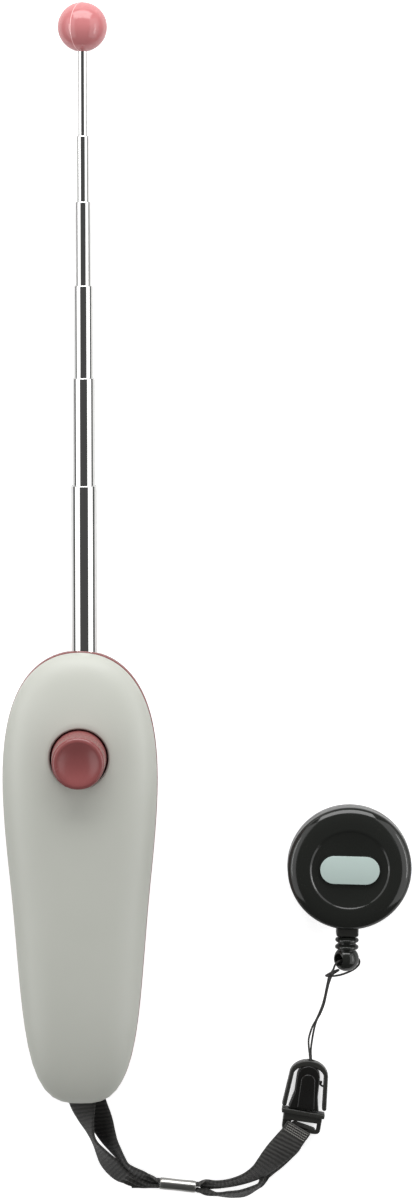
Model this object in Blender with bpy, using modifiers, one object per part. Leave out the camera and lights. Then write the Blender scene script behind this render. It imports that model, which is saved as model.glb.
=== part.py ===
"""Target stick for dog training: a telescoping mast with a ball on a clicker handle,
and a webbing strap, a quick-release buckle and a retractable reel on its foot.

Metres, +Z up. The stick lies on its back: +Y runs along the mast towards the ball and
the grey front of the handle faces +Z. The origin is the middle of the handle's flat back.
"""
import math

import bmesh
import bpy
from mathutils import Matrix, Vector

# Fits that several pieces share
SEAT_GAP = 0.0003
RUNNING_GAP = 0.0003
TUBE_GAP = 0.00012

# Handle: an egg outline, wider towards the mast
HANDLE_LENGTH = 0.1230
HANDLE_MIDDLE_HALF_WIDTH = 0.0189
HANDLE_TAPER = 0.0064
HANDLE_SWELL = 0.0052
HANDLE_TOP_POWER = 2.12
HANDLE_FOOT_POWER = 3.0
PARTING_Z = 0.0145
FRONT_DOME_HEIGHT = 0.0105
BACK_DOME_DEPTH = 0.0156
FRONT_DOME_POWER = 2.5
BACK_DOME_POWER = 3.6
SHELL_WALL = 0.0018
BACK_RIM_PROUD = 0.0003

# The strap, buckle and reel hang on the handle's foot, so their places move with it
FOOT_MOVE = 0.0615 - HANDLE_LENGTH / 2

# Mast: six tubes, thickest first
MAST_X = 0.0012
MAST_Z = 0.0090
TUBE_COUNT = 6
FOOT_TUBE_RADIUS = 0.0035
TUBE_RADIUS_STEP = 0.00045
TUBE_WALL = 0.0002
TUBE_LENGTH = 0.0920
TUBE_FLARE = 0.00012
SHOWN_AT_REST = (0.0444, 0.0288, 0.0246, 0.0222, 0.0174, 0.0220)
BALL_RADIUS = 0.0067
BALL_BORE_DEPTH = 0.0060

# Bush in the mouth of the handle, and the collar that stops the foot tube
GUIDE_LENGTH = 0.0095
GUIDE_WALL = 0.0007
GUIDE_SETBACK = 0.0020
STOP_LENGTH = 0.0030
STOP_WALL = 0.0007
STOP_FROM_TUBE_FOOT = 0.0012

# Push button and the click mechanism under it
BUTTON_Y = 0.278 * HANDLE_LENGTH
BUTTON_HOLE_RADIUS = 0.00785
BUTTON_SIDE_GAP = 0.00045
BUTTON_TOP_Z = 0.0326
BUTTON_RIM_TAPER = 0.0004
BUTTON_EDGE_ROUND = 0.0010
BUTTON_DISH_DEPTH = 0.0014
BUTTON_FLANGE_RADIUS = 0.0090
BUTTON_FLANGE_TOP_Z = 0.0210
BUTTON_FLANGE_THICKNESS = 0.0010
BUTTON_STEM_RADIUS = 0.0012
LEAF_TOP_Z = 0.0180
LEAF_THICKNESS = 0.0004
LEAF_WIDTH = 0.0090
LEAF_TAIL_Y = BUTTON_Y - 0.0170
LEAF_TIP_Y = BUTTON_Y + 0.0038
LEAF_SEAT_LENGTH = 0.0044
LEAF_DIMPLE_RADIUS = 0.0018
BASE_BRIDGE_THICKNESS = 0.0018
BASE_LEG_X = 0.0085
BASE_LEG_WIDTH = 0.0020
BASE_CHEEK = 0.0012

# Screws that hold the two shells together, driven from the back
SCREW_PLACES = ((-0.58 * HANDLE_MIDDLE_HALF_WIDTH, 0.378 * HANDLE_LENGTH),
                (0.58 * HANDLE_MIDDLE_HALF_WIDTH, 0.378 * HANDLE_LENGTH),
                (0.0, -0.358 * HANDLE_LENGTH))
SCREW_SHANK_RADIUS = 0.0011
SCREW_HEAD_RADIUS = 0.0021
SCREW_HEAD_HEIGHT = 0.0013
SCREW_HEAD_SETBACK = 0.0012
SCREW_BITE = 0.0045
SCREW_POINT_LENGTH = 0.0006
BOSS_WALL = 0.0012

# Pin across the foot of the handle that the webbing loops round, and its slot
PIN_INSIDE_FOOT = 0.0070
PIN_Y = PIN_INSIDE_FOOT - HANDLE_LENGTH / 2
PIN_Z = 0.0072
PIN_RADIUS = 0.00125
PIN_LENGTH = 0.0150
PIN_LUG_THICKNESS = 0.0012
PIN_LUG_WALL = 0.0006
PIN_LUG_BACKING = 0.0024
SLOT_HALF_WIDTH = 0.0066
SLOT_FOOT_Z = 0.0044
SLOT_INSIDE = 0.0030

# Webbing: one sewn loop in two runs, from the handle's pin to the buckle, and its crimp
WEBBING_WIDTH = 0.0080
WEBBING_THICKNESS = 0.0009
WEBBING_FOLD_WIDTH = 0.0078
WEBBING_IN_CRIMP_WIDTH = 0.0011
WEBBING_IN_CRIMP_THICKNESS = 0.0005
CRIMP_RADIUS = 0.00145
CRIMP_WALL = 0.00025
CRIMP_MARGIN = 0.0006
CRIMP_LAYER_OFFSET = 0.00042
CRIMP_START = Vector((0.0212, -0.0866 + FOOT_MOVE, 0.0022))
CRIMP_END = Vector((0.0310, -0.0876 + FOOT_MOVE, 0.0022))

# Buckle, in its own frame: u across, v along it towards the arch
BUCKLE_PLACE = Vector((0.06045, -0.06715 + FOOT_MOVE, 0.0024))
BUCKLE_TURN = math.radians(-8.0)
CROSSBAR_WIDTH = 0.0118
CROSSBAR_LENGTH = 0.0015
CROSSBAR_HEIGHT = 0.0040
BUCKLE_EDGE = 0.0003
WEB_LOOP_WIDTH = 0.0108
WEB_LOOP_END = 0.0066
WEB_LOOP_BAR = 0.0012
WEB_LOOP_HEIGHT = 0.0014
WEB_LOOP_CORNER = 0.0016
WEB_LOOP_INNER_CORNER = 0.0005
WEB_LOOP_SHOULDER = 0.0016
WEB_LOOP_SHOULDER_HEIGHT = 0.0028
TONGUE_WIDTH = 0.0034
TONGUE_HEIGHT = 0.0018
TONGUE_LENGTH = 0.0088
TONGUE_BARB = 0.0003
TONGUE_TIP_LENGTH = 0.0024
TONGUE_STEP_LENGTH = 0.0002
ARCH_LENGTH = 0.0148
ARCH_FOOT_HALF_WIDTH = 0.0061
ARCH_TOP_HALF_WIDTH = 0.0053
ARCH_SPRING_LINE = 0.0105
ARCH_LEG_WIDTH = 0.0012
ARCH_BAND = 0.0017
ARCH_FOOT_GAP = 0.0007
ARCH_HEIGHT = 0.0030
SLEEVE_HALF_WIDTH = 0.00305
SLEEVE_FOOT_HALF_WIDTH = 0.0040
SLEEVE_FLARE_START = 0.0050
SLEEVE_HEIGHT = 0.0036
SLEEVE_PANEL_HALF_WIDTH = 0.0020
SLEEVE_PANEL_END = 0.0106
SLEEVE_PANEL_SETBACK = 0.0005
SLEEVE_PANEL_PROUD = 0.0004
CORD_HOLE_RADIUS = 0.00095
KNOT_RADIUS = 0.0009

# Thin cord from the buckle to the stopper
LOOP_CORD_RADIUS = 0.00028

# Reel, in its own frame: the cord outlet points to -Y
REEL_TURN = math.radians(-1.6)
REEL_RADIUS = 0.01675
REEL_BACK_Z = 0.0046
REEL_PARTING_Z = 0.0082
REEL_FACE_Z = 0.0136
REEL_EDGE_ROUND = 0.0026
REEL_WALL = 0.0012
REEL_DISC_RADIUS = 0.0107
REEL_DISC_RISE = 0.0004
FACE_PLATE_LENGTH = 0.0160
FACE_PLATE_WIDTH = 0.0076
FACE_PLATE_THICKNESS = 0.0004
OUTLET_WIDTH = 0.0060
OUTLET_HEIGHT = 0.0050
OUTLET_SHOWN = 0.0021
OUTLET_INSIDE = 0.0022
OUTLET_HOLE_RADIUS = 0.0010
OUTLET_EDGE = 0.0003
SPOOL_FLANGE_RADIUS = 0.0130
SPOOL_DRUM_RADIUS = 0.0074
SPOOL_FLANGE_THICKNESS = 0.0008
SPOOL_FOOT_Z = 0.0062
SPOOL_TOP_Z = 0.0112
SPOOL_WALL = 0.0011
WINDING_RADIUS = 0.0098
AXLE_RADIUS = 0.0014
SPRING_TURNS = 4
SPRING_STRIP_THICKNESS = 0.00025
PULL_CORD_RADIUS = 0.00045

# Stopper on the reel's cord: ribbed collar and cross-drilled ball
STOPPER_BALL_RADIUS = 0.0034
STOPPER_BALL_PLACE = Vector((0.0719, -0.0231 + FOOT_MOVE, 0.0))
STOPPER_BALL_DROP = 0.00615
STOPPER_RING_RADIUS = 0.0032
STOPPER_NECK_RADIUS = 0.0024
STOPPER_RING_PITCH = 0.0019
STOPPER_RING_EDGE = 0.0003
STOPPER_RING_COUNT = 2
STOPPER_HOLE_RADIUS = 0.0015
STOPPER_HOLE_RISE = math.radians(42.0)

# Belt clip under the reel
CLIP_WIDTH = 0.0120
CLIP_THICKNESS = 0.0010
CLIP_BACK_Y = 0.0130
CLIP_FRONT_Y = -0.0140
CLIP_LIP_LENGTH = 0.0030
CLIP_LIP_RISE = 0.0012
RIVET_Y = 0.0000
RIVET_RADIUS = 0.0015
RIVET_HEAD_RADIUS = 0.0030
RIVET_HEAD_HEIGHT = 0.0007

# Facets
ROUND_SIDES = 20
HANDLE_SIDES = 40
HANDLE_RINGS = 14
REEL_SIDES = 40
BALL_SIDES = 24
SMALL_SIDES = 16


def clear_scene():
    for old in list(bpy.data.objects):
        bpy.data.objects.remove(old, do_unlink=True)


def new_collection(name):
    collection = bpy.data.collections.new(name)
    bpy.context.scene.collection.children.link(collection)
    return collection


def plastic(name, colour, roughness, metallic=0.0):
    material = bpy.data.materials.new(name)
    material.use_nodes = True
    shader = material.node_tree.nodes["Principled BSDF"]
    shader.inputs["Base Color"].default_value = (*colour, 1.0)
    shader.inputs["Roughness"].default_value = roughness
    shader.inputs["Metallic"].default_value = metallic
    return material


clear_scene()
PARTS = new_collection("target_stick")
CUTTERS = new_collection("cutters")

GREY_SHELL = plastic("grey_shell", (0.47, 0.47, 0.43), 0.45)
ROSE_PLASTIC = plastic("rose_plastic", (0.52, 0.13, 0.15), 0.35)
CHROME = plastic("chrome", (0.80, 0.80, 0.80), 0.08, 1.0)
STEEL = plastic("steel", (0.55, 0.55, 0.53), 0.25, 1.0)
BRASS = plastic("brass", (0.70, 0.52, 0.22), 0.3, 1.0)
WHITE_PLASTIC = plastic("white_plastic", (0.75, 0.75, 0.72), 0.4)
BLACK_GLOSS = plastic("black_gloss", (0.012, 0.013, 0.012), 0.12)
BLACK_SATIN = plastic("black_satin", (0.018, 0.018, 0.017), 0.4)
BLACK_WEBBING = plastic("black_webbing", (0.020, 0.019, 0.018), 0.85)
BLACK_CORD = plastic("black_cord", (0.015, 0.015, 0.015), 0.6)
PALE_PLATE = plastic("pale_plate", (0.43, 0.52, 0.49), 0.4)


def place(obj, location=(0.0, 0.0, 0.0), rotation=(0.0, 0.0, 0.0), parent=None):
    obj.location = location
    obj.rotation_euler = rotation
    obj.parent = parent
    return obj


def part(obj, material):
    PARTS.objects.link(obj)
    obj.data.materials.append(material)
    return obj


def cutter(obj):
    CUTTERS.objects.link(obj)
    obj.hide_render = True
    obj.display_type = "WIRE"
    return obj


def shape(obj, tool, operation):
    """Cut the tool out of an object, or join it on."""
    cutter(tool)
    step = obj.modifiers.new(tool.name, "BOOLEAN")
    step.operation = operation
    step.solver = "EXACT"
    step.object = tool
    return obj


def mesh_object(name, mesh_builder):
    mesh = bpy.data.meshes.new(name)
    work = bmesh.new()
    mesh_builder(work)
    bmesh.ops.recalc_face_normals(work, faces=work.faces)
    work.to_mesh(mesh)
    work.free()
    mesh.shade_smooth()
    mesh.set_sharp_from_angle(angle=math.radians(35))
    return bpy.data.objects.new(name, mesh)


def block(name, low, high, edge=0.0):
    """A box between two corners, with an optional bevelled edge."""
    low, high = Vector(low), Vector(high)

    def build(work):
        size = high - low
        bmesh.ops.create_cube(work, size=1.0)
        bmesh.ops.scale(work, vec=size, verts=work.verts)
        bmesh.ops.translate(work, vec=(low + high) / 2, verts=work.verts)
    obj = mesh_object(name, build)
    if edge:
        bevel = obj.modifiers.new("edge", "BEVEL")
        bevel.width = edge
        bevel.segments = 2
        bevel.limit_method = "ANGLE"
    return obj


def rod(name, radius, start, end, sides=ROUND_SIDES):
    """A plain round bar between two points."""
    start, end = Vector(start), Vector(end)
    along = end - start
    turn = Vector((0.0, 0.0, 1.0)).rotation_difference(along)
    move = Matrix.Translation((start + end) / 2) @ turn.to_matrix().to_4x4()

    def build(work):
        bmesh.ops.create_cone(work, cap_ends=True, segments=sides, radius1=radius,
                              radius2=radius, depth=along.length, matrix=move)
    return mesh_object(name, build)


def turned(name, profile, sides=ROUND_SIDES, closed=False):
    """Turn a profile of (radius, height) points, given top to bottom, about Z."""
    mesh = bpy.data.meshes.new(name)
    points = [(radius, 0.0, height) for radius, height in profile]
    edges = [(i, i + 1) for i in range(len(points) - 1)]
    if closed:
        edges.append((len(points) - 1, 0))
    mesh.from_pydata(points, edges, [])
    obj = bpy.data.objects.new(name, mesh)
    screw = obj.modifiers.new("turn", "SCREW")
    screw.axis = "Z"
    screw.steps = sides
    screw.render_steps = sides
    screw.use_merge_vertices = True
    screw.merge_threshold = 0.00001
    return obj


def as_mesh(obj):
    """Change an unlinked curve object into a welded mesh object."""
    bpy.context.scene.collection.objects.link(obj)
    bpy.context.view_layer.update()
    view = bpy.context.evaluated_depsgraph_get()
    mesh = bpy.data.meshes.new_from_object(obj.evaluated_get(view))
    name = obj.name
    bpy.data.objects.remove(obj, do_unlink=True)
    work = bmesh.new()
    work.from_mesh(mesh)
    bmesh.ops.remove_doubles(work, verts=work.verts, dist=0.000001)
    bmesh.ops.recalc_face_normals(work, faces=work.faces)
    work.to_mesh(mesh)
    work.free()
    return bpy.data.objects.new(name, mesh)


def plate(name, outlines, low_z, high_z):
    """A flat plate from closed outlines; an inner outline is a hole."""
    curve = bpy.data.curves.new(name, "CURVE")
    curve.dimensions = "2D"
    curve.fill_mode = "BOTH"
    curve.extrude = (high_z - low_z) / 2
    for outline in outlines:
        spline = curve.splines.new("POLY")
        spline.points.add(len(outline) - 1)
        for point, (x, y) in zip(spline.points, outline):
            point.co = (x, y, 0.0, 1.0)
        spline.use_cyclic_u = True
    obj = as_mesh(bpy.data.objects.new(name, curve))
    obj.data.transform(Matrix.Translation((0.0, 0.0, (low_z + high_z) / 2)))
    return obj


def arc(centre, radius_x, radius_y, start, end, steps):
    """Points on an elliptic arc; angles in degrees."""
    points = []
    for i in range(steps + 1):
        angle = math.radians(start + (end - start) * i / steps)
        x = centre[0] + radius_x * math.cos(angle)
        y = centre[1] + radius_y * math.sin(angle)
        points.append((x, y))
    return points


def rounded_rectangle(low, high, corner, steps=3):
    right, left = high[0] - corner, low[0] + corner
    top, foot = high[1] - corner, low[1] + corner
    points = arc((right, top), corner, corner, 0, 90, steps)
    points += arc((left, top), corner, corner, 90, 180, steps)
    points += arc((left, foot), corner, corner, 180, 270, steps)
    points += arc((right, foot), corner, corner, 270, 360, steps)
    return points


def loft(name, sections):
    """Skin a row of like-numbered closed sections and cap both ends."""
    def build(work):
        rings = [[work.verts.new(point) for point in section] for section in sections]
        count = len(rings[0])
        for ring, after in zip(rings, rings[1:]):
            for i in range(count):
                j = (i + 1) % count
                work.faces.new((ring[i], ring[j], after[j], after[i]))
        work.faces.new(rings[0])
        work.faces.new(rings[-1])
    return mesh_object(name, build)


def smooth_route(points, spacing):
    """Points at an even spacing on one smooth curve through the route's own points."""
    points = [Vector(point) for point in points]
    padded = [2 * points[0] - points[1]] + points + [2 * points[-1] - points[-2]]
    fine = []
    steps = 24
    for a, b, c, d in zip(padded, padded[1:], padded[2:], padded[3:]):
        for i in range(steps):
            t = i / steps
            fine.append(0.5 * (2 * b + (c - a) * t + (2 * a - 5 * b + 4 * c - d) * t * t
                               + (3 * b - a - 3 * c + d) * t * t * t))
    fine.append(points[-1])
    total = sum((q - p).length for p, q in zip(fine, fine[1:]))
    count = max(2, round(total / spacing))
    wanted, run, picked = total / count, 0.0, [fine[0]]
    for p, q in zip(fine, fine[1:]):
        run += (q - p).length
        if run >= wanted * len(picked) and len(picked) < count:
            picked.append(q)
    picked.append(fine[-1])
    return picked


def cord_tube(name, route, radius, spacing):
    """A round cord: a poly spline with a round bevel and filled caps."""
    curve = bpy.data.curves.new(name, "CURVE")
    curve.dimensions = "3D"
    curve.bevel_depth = radius
    curve.bevel_resolution = 2
    curve.use_fill_caps = True
    points = smooth_route(route, spacing)
    spline = curve.splines.new("POLY")
    spline.points.add(len(points) - 1)
    for point, place_on_route in zip(spline.points, points):
        point.co = (*place_on_route, 1.0)
    return bpy.data.objects.new(name, curve)


def egg_point(angle, grow):
    """A point on the handle's outline, grown or shrunk sideways by the given length."""
    rise, reach = math.sin(angle), math.cos(angle)
    power = HANDLE_TOP_POWER if rise > 0 else HANDLE_FOOT_POWER
    along = math.copysign(abs(rise) ** (2 / power), rise)
    across = math.copysign(abs(reach) ** (2 / power), reach)
    half_width = HANDLE_MIDDLE_HALF_WIDTH + HANDLE_TAPER * along + HANDLE_SWELL * along ** 2 + grow
    return half_width * across, (HANDLE_LENGTH / 2 + grow) * along


def dome_height(fraction, height, power):
    """Height of the pillow-shaped dome at a fraction of the way out to its edge."""
    return height * max(0.0, 1 - min(1.0, fraction) ** power) ** (1 / power)


def outline_fraction(x, y, grow):
    """How far out a place lies, from 0 in the middle to 1 on the grown outline."""
    angle = math.atan2(y / HANDLE_LENGTH, x / (2 * HANDLE_MIDDLE_HALF_WIDTH))
    for _ in range(12):
        edge_x, edge_y = egg_point(angle, grow)
        angle += math.atan2(y, x) - math.atan2(edge_y, edge_x)
    edge_x, edge_y = egg_point(angle, grow)
    return math.hypot(x, y) / math.hypot(edge_x, edge_y)


def back_drop(fraction, wall):
    """How far below the parting plane the back's dome lies, a wall inside its outside."""
    full = BACK_DOME_DEPTH - wall * BACK_DOME_DEPTH / PARTING_Z
    return dome_height(fraction, full, BACK_DOME_POWER)


def egg_body(name, grow, height, power, half=0):
    """An egg-shaped pillow about the parting plane; half keeps +1 the top, -1 the bottom."""
    def build(work):
        bmesh.ops.create_uvsphere(work, u_segments=HANDLE_SIDES, v_segments=HANDLE_RINGS,
                                  radius=1.0)
        if half:
            spare = [v for v in work.verts if v.co.z * half < -0.001]
            bmesh.ops.delete(work, geom=spare, context="VERTS")
            rim = [e for e in work.edges if e.is_boundary]
            bmesh.ops.holes_fill(work, edges=rim)
        for vert in work.verts:
            fraction = math.hypot(vert.co.x, vert.co.y)
            x, y = egg_point(math.atan2(vert.co.y, vert.co.x), grow)
            lift = dome_height(fraction, height, power) if abs(vert.co.z) > 0.001 else 0.0
            vert.co = (fraction * x, fraction * y, math.copysign(lift, vert.co.z))
    return mesh_object(name, build)


def floor_under(x, y):
    """Height of the inside of the back shell at a place in the handle."""
    drop = back_drop(outline_fraction(x, y, -SHELL_WALL), SHELL_WALL)
    return PARTING_Z - min(drop, PARTING_Z - SHELL_WALL)


def roof_over(x, y):
    """Height of the inside of the front shell at a place in the handle."""
    fraction = outline_fraction(x, y, -SHELL_WALL)
    return PARTING_Z + dome_height(fraction, FRONT_DOME_HEIGHT - SHELL_WALL, FRONT_DOME_POWER)


def make_front_shell():
    """Grey front: a thin dome with the button hole and three screw bosses."""
    shell = part(egg_body("front_shell", 0.0, FRONT_DOME_HEIGHT, FRONT_DOME_POWER, half=1),
                 GREY_SHELL)
    place(shell, (0.0, 0.0, PARTING_Z + SEAT_GAP / 2))
    hollow = egg_body("front_hollow", -SHELL_WALL, FRONT_DOME_HEIGHT - SHELL_WALL,
                      FRONT_DOME_POWER)
    shape(shell, place(hollow, shell.location), "DIFFERENCE")
    for number, (x, y) in enumerate(SCREW_PLACES, 1):
        outer = SCREW_SHANK_RADIUS + BOSS_WALL
        roof = roof_over(x, y) + SHELL_WALL / 2
        boss = rod(f"front_boss_{number}", outer, (x, y, shell.location.z), (x, y, roof),
                   SMALL_SIDES)
        shape(shell, boss, "UNION")
        pilot_top = shell.location.z + SCREW_BITE
        pilot = rod(f"front_pilot_{number}", SCREW_SHANK_RADIUS + SEAT_GAP,
                    (x, y, PARTING_Z - SHELL_WALL), (x, y, pilot_top + SEAT_GAP), SMALL_SIDES)
        shape(shell, pilot, "DIFFERENCE")
    hole = rod("button_hole", BUTTON_HOLE_RADIUS, (0.0, BUTTON_Y, PARTING_Z),
               (0.0, BUTTON_Y, BUTTON_TOP_Z), HANDLE_SIDES)
    shape(shell, hole, "DIFFERENCE")
    return shell


def make_back_shell():
    """Rose back: a deeper dome cut flat to lie on, with bosses, mouth, slot and pin lugs."""
    shell = part(egg_body("back_shell", BACK_RIM_PROUD, BACK_DOME_DEPTH, BACK_DOME_POWER, half=-1),
                 ROSE_PLASTIC)
    rim_z = PARTING_Z - SEAT_GAP / 2
    place(shell, (0.0, 0.0, rim_z))
    below = block("back_flat", (-HANDLE_LENGTH, -HANDLE_LENGTH, -PARTING_Z),
                  (HANDLE_LENGTH, HANDLE_LENGTH, 0.0))
    shape(shell, below, "DIFFERENCE")
    hollow = egg_body("back_hollow", -SHELL_WALL, back_drop(0.0, SHELL_WALL), BACK_DOME_POWER)
    shape(shell, place(hollow, shell.location), "DIFFERENCE")
    for number, (x, y) in enumerate(SCREW_PLACES, 1):
        outer = SCREW_HEAD_RADIUS + SEAT_GAP + BOSS_WALL
        foot = floor_under(x, y) - SHELL_WALL / 2
        boss = rod(f"back_boss_{number}", outer, (x, y, foot), (x, y, rim_z), SMALL_SIDES)
        shape(shell, boss, "UNION")
        shank = rod(f"back_bore_{number}", SCREW_SHANK_RADIUS + SEAT_GAP, (x, y, -SHELL_WALL),
                    (x, y, PARTING_Z + SHELL_WALL), SMALL_SIDES)
        shape(shell, shank, "DIFFERENCE")
        sink = rod(f"back_sink_{number}", SCREW_HEAD_RADIUS + SEAT_GAP, (x, y, -SHELL_WALL),
                   (x, y, screw_seat_z(x, y) + SEAT_GAP), SMALL_SIDES)
        shape(shell, sink, "DIFFERENCE")
    mouth_foot = HANDLE_LENGTH / 2 - 2 * GUIDE_LENGTH
    mouth = rod("mast_mouth", guide_radius() + SEAT_GAP, (MAST_X, mouth_foot, MAST_Z),
                (MAST_X, HANDLE_LENGTH, MAST_Z))
    shape(shell, mouth, "DIFFERENCE")
    slot = block("strap_slot", (-SLOT_HALF_WIDTH, -HANDLE_LENGTH, SLOT_FOOT_Z),
                 (SLOT_HALF_WIDTH, PIN_Y + SLOT_INSIDE, PARTING_Z))
    shape(shell, slot, "DIFFERENCE")
    reach = PIN_RADIUS + SEAT_GAP + PIN_LUG_WALL
    for side in (-1, 1):
        inner = side * (SLOT_HALF_WIDTH + SEAT_GAP)
        outer = inner + side * PIN_LUG_THICKNESS
        lug = block(f"pin_lug_{'left' if side < 0 else 'right'}",
                    (min(inner, outer), PIN_Y - reach, PIN_Z - reach),
                    (max(inner, outer), PIN_Y + PIN_LUG_BACKING, PIN_Z + reach))
        shape(shell, lug, "UNION")
    bore = rod("pin_bore", PIN_RADIUS + SEAT_GAP, (-PIN_LENGTH / 2 - SEAT_GAP, PIN_Y, PIN_Z),
               (PIN_LENGTH / 2 + SEAT_GAP, PIN_Y, PIN_Z), SMALL_SIDES)
    shape(shell, bore, "DIFFERENCE")
    return shell


def screw_seat_z(x, y):
    """Where a screw's head seats: a set depth inside the shell's outside."""
    drop = dome_height(outline_fraction(x, y, 0.0), BACK_DOME_DEPTH, BACK_DOME_POWER)
    outside = max(0.0, PARTING_Z - drop)
    return outside + SCREW_HEAD_SETBACK + SCREW_HEAD_HEIGHT


def make_screws():
    for number, (x, y) in enumerate(SCREW_PLACES, 1):
        seat = screw_seat_z(x, y)
        tip = PARTING_Z + SEAT_GAP / 2 + SCREW_BITE
        profile = [(0.0, tip), (SCREW_SHANK_RADIUS * 0.6, tip),
                   (SCREW_SHANK_RADIUS, tip - SCREW_POINT_LENGTH),
                   (SCREW_SHANK_RADIUS, seat), (SCREW_HEAD_RADIUS, seat),
                   (SCREW_HEAD_RADIUS, seat - SCREW_HEAD_HEIGHT * 0.6),
                   (SCREW_HEAD_RADIUS * 0.7, seat - SCREW_HEAD_HEIGHT),
                   (0.0, seat - SCREW_HEAD_HEIGHT)]
        screw = part(turned(f"handle_screw_{number}", profile, SMALL_SIDES), STEEL)
        place(screw, (x, y, 0.0))


def guide_radius():
    return FOOT_TUBE_RADIUS + RUNNING_GAP + GUIDE_WALL


def make_mast_guide():
    """Plain bush, let into the mouth of the back shell."""
    bore = FOOT_TUBE_RADIUS + RUNNING_GAP
    edge = GUIDE_WALL / 3
    profile = [(bore, 0.0), (guide_radius() - edge, 0.0), (guide_radius(), -edge),
               (guide_radius(), -GUIDE_LENGTH), (bore, -GUIDE_LENGTH)]
    guide = part(turned("mast_guide", profile, closed=True), WHITE_PLASTIC)
    place(guide, (MAST_X, HANDLE_LENGTH / 2 - GUIDE_SETBACK, MAST_Z), (-math.pi / 2, 0.0, 0.0))


def tube_radius(index):
    """Outer radius of a mast section, 0 for the thickest."""
    return FOOT_TUBE_RADIUS - TUBE_RADIUS_STEP * index


def tube_top(index):
    """Where a section's top end lies along the handle at rest."""
    return HANDLE_LENGTH / 2 + sum(SHOWN_AT_REST[:index + 1])


def make_mast():
    """Six tubes with rolled-in tops and flared feet, and the ball on the last."""
    for index in range(TUBE_COUNT):
        radius = tube_radius(index)
        is_last = index == TUBE_COUNT - 1
        lip = radius - 2.5 * TUBE_WALL if is_last else tube_radius(index + 1) + TUBE_GAP
        foot = -TUBE_LENGTH
        shoulder = 2 * TUBE_WALL
        profile = [(lip, -TUBE_WALL), (lip + TUBE_WALL / 2, 0.0), (radius - TUBE_WALL, 0.0),
                   (radius, -shoulder), (radius, foot + 5 * TUBE_WALL),
                   (radius + TUBE_FLARE, foot + 3 * TUBE_WALL), (radius + TUBE_FLARE, foot),
                   (radius + TUBE_FLARE - TUBE_WALL, foot),
                   (radius - TUBE_WALL, foot + 5 * TUBE_WALL), (radius - TUBE_WALL, -2 * shoulder)]
        name = f"mast_section_{TUBE_COUNT - index}"
        tube = part(turned(name, profile, closed=True), CHROME)
        top = tube_top(index) + (BALL_BORE_DEPTH - SEAT_GAP if is_last else 0.0)
        place(tube, (MAST_X, top, MAST_Z), (-math.pi / 2, 0.0, 0.0))
    bore = FOOT_TUBE_RADIUS + SEAT_GAP
    stop_foot = STOP_FROM_TUBE_FOOT
    profile = [(bore, stop_foot + STOP_LENGTH), (bore + STOP_WALL, stop_foot + STOP_LENGTH),
               (bore + STOP_WALL, stop_foot), (bore, stop_foot)]
    stop = part(turned("mast_stop", profile, closed=True), BRASS)
    place(stop, (MAST_X, tube_top(0) - TUBE_LENGTH, MAST_Z), (-math.pi / 2, 0.0, 0.0))


def make_tip_ball():
    def build(work):
        bmesh.ops.create_uvsphere(work, u_segments=BALL_SIDES, v_segments=BALL_SIDES // 2,
                                  radius=BALL_RADIUS)
    ball = part(mesh_object("tip_ball", build), ROSE_PLASTIC)
    place(ball, (MAST_X, tube_top(TUBE_COUNT - 1) + BALL_RADIUS, MAST_Z),
          (-math.pi / 2, 0.0, 0.0))
    foot = ball.location.y - BALL_RADIUS
    bore = rod("ball_bore", tube_radius(TUBE_COUNT - 1) + SEAT_GAP,
               (MAST_X, foot - BALL_RADIUS, MAST_Z),
               (MAST_X, foot + BALL_BORE_DEPTH, MAST_Z), SMALL_SIDES)
    shape(ball, bore, "DIFFERENCE")


def make_button():
    """Dished cap with a rounded rim, a flange that keeps it in and a stem."""
    side = BUTTON_HOLE_RADIUS - BUTTON_SIDE_GAP
    rim = side - BUTTON_RIM_TAPER
    top = BUTTON_TOP_Z
    edge = BUTTON_EDGE_ROUND
    dish = rim - 1.6 * edge
    profile = []
    for i in range(6):
        out = dish * i / 5
        profile.append((out, top - BUTTON_DISH_DEPTH * (1 - (out / dish) ** 2) - edge * 0.2))
    for i in range(5):
        angle = math.radians(110 - 110 * i / 4)
        profile.append((rim - edge + edge * math.cos(angle), top - edge + edge * math.sin(angle)))
    flange_foot = BUTTON_FLANGE_TOP_Z - BUTTON_FLANGE_THICKNESS
    stem_foot = LEAF_TOP_Z + SEAT_GAP
    profile += [(side, BUTTON_FLANGE_TOP_Z), (BUTTON_FLANGE_RADIUS, BUTTON_FLANGE_TOP_Z),
                (BUTTON_FLANGE_RADIUS, flange_foot), (BUTTON_STEM_RADIUS, flange_foot),
                (BUTTON_STEM_RADIUS, stem_foot), (0.0, stem_foot)]
    button = part(turned("clicker_button", profile, BALL_SIDES), ROSE_PLASTIC)
    place(button, (0.0, BUTTON_Y, 0.0))


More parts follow.
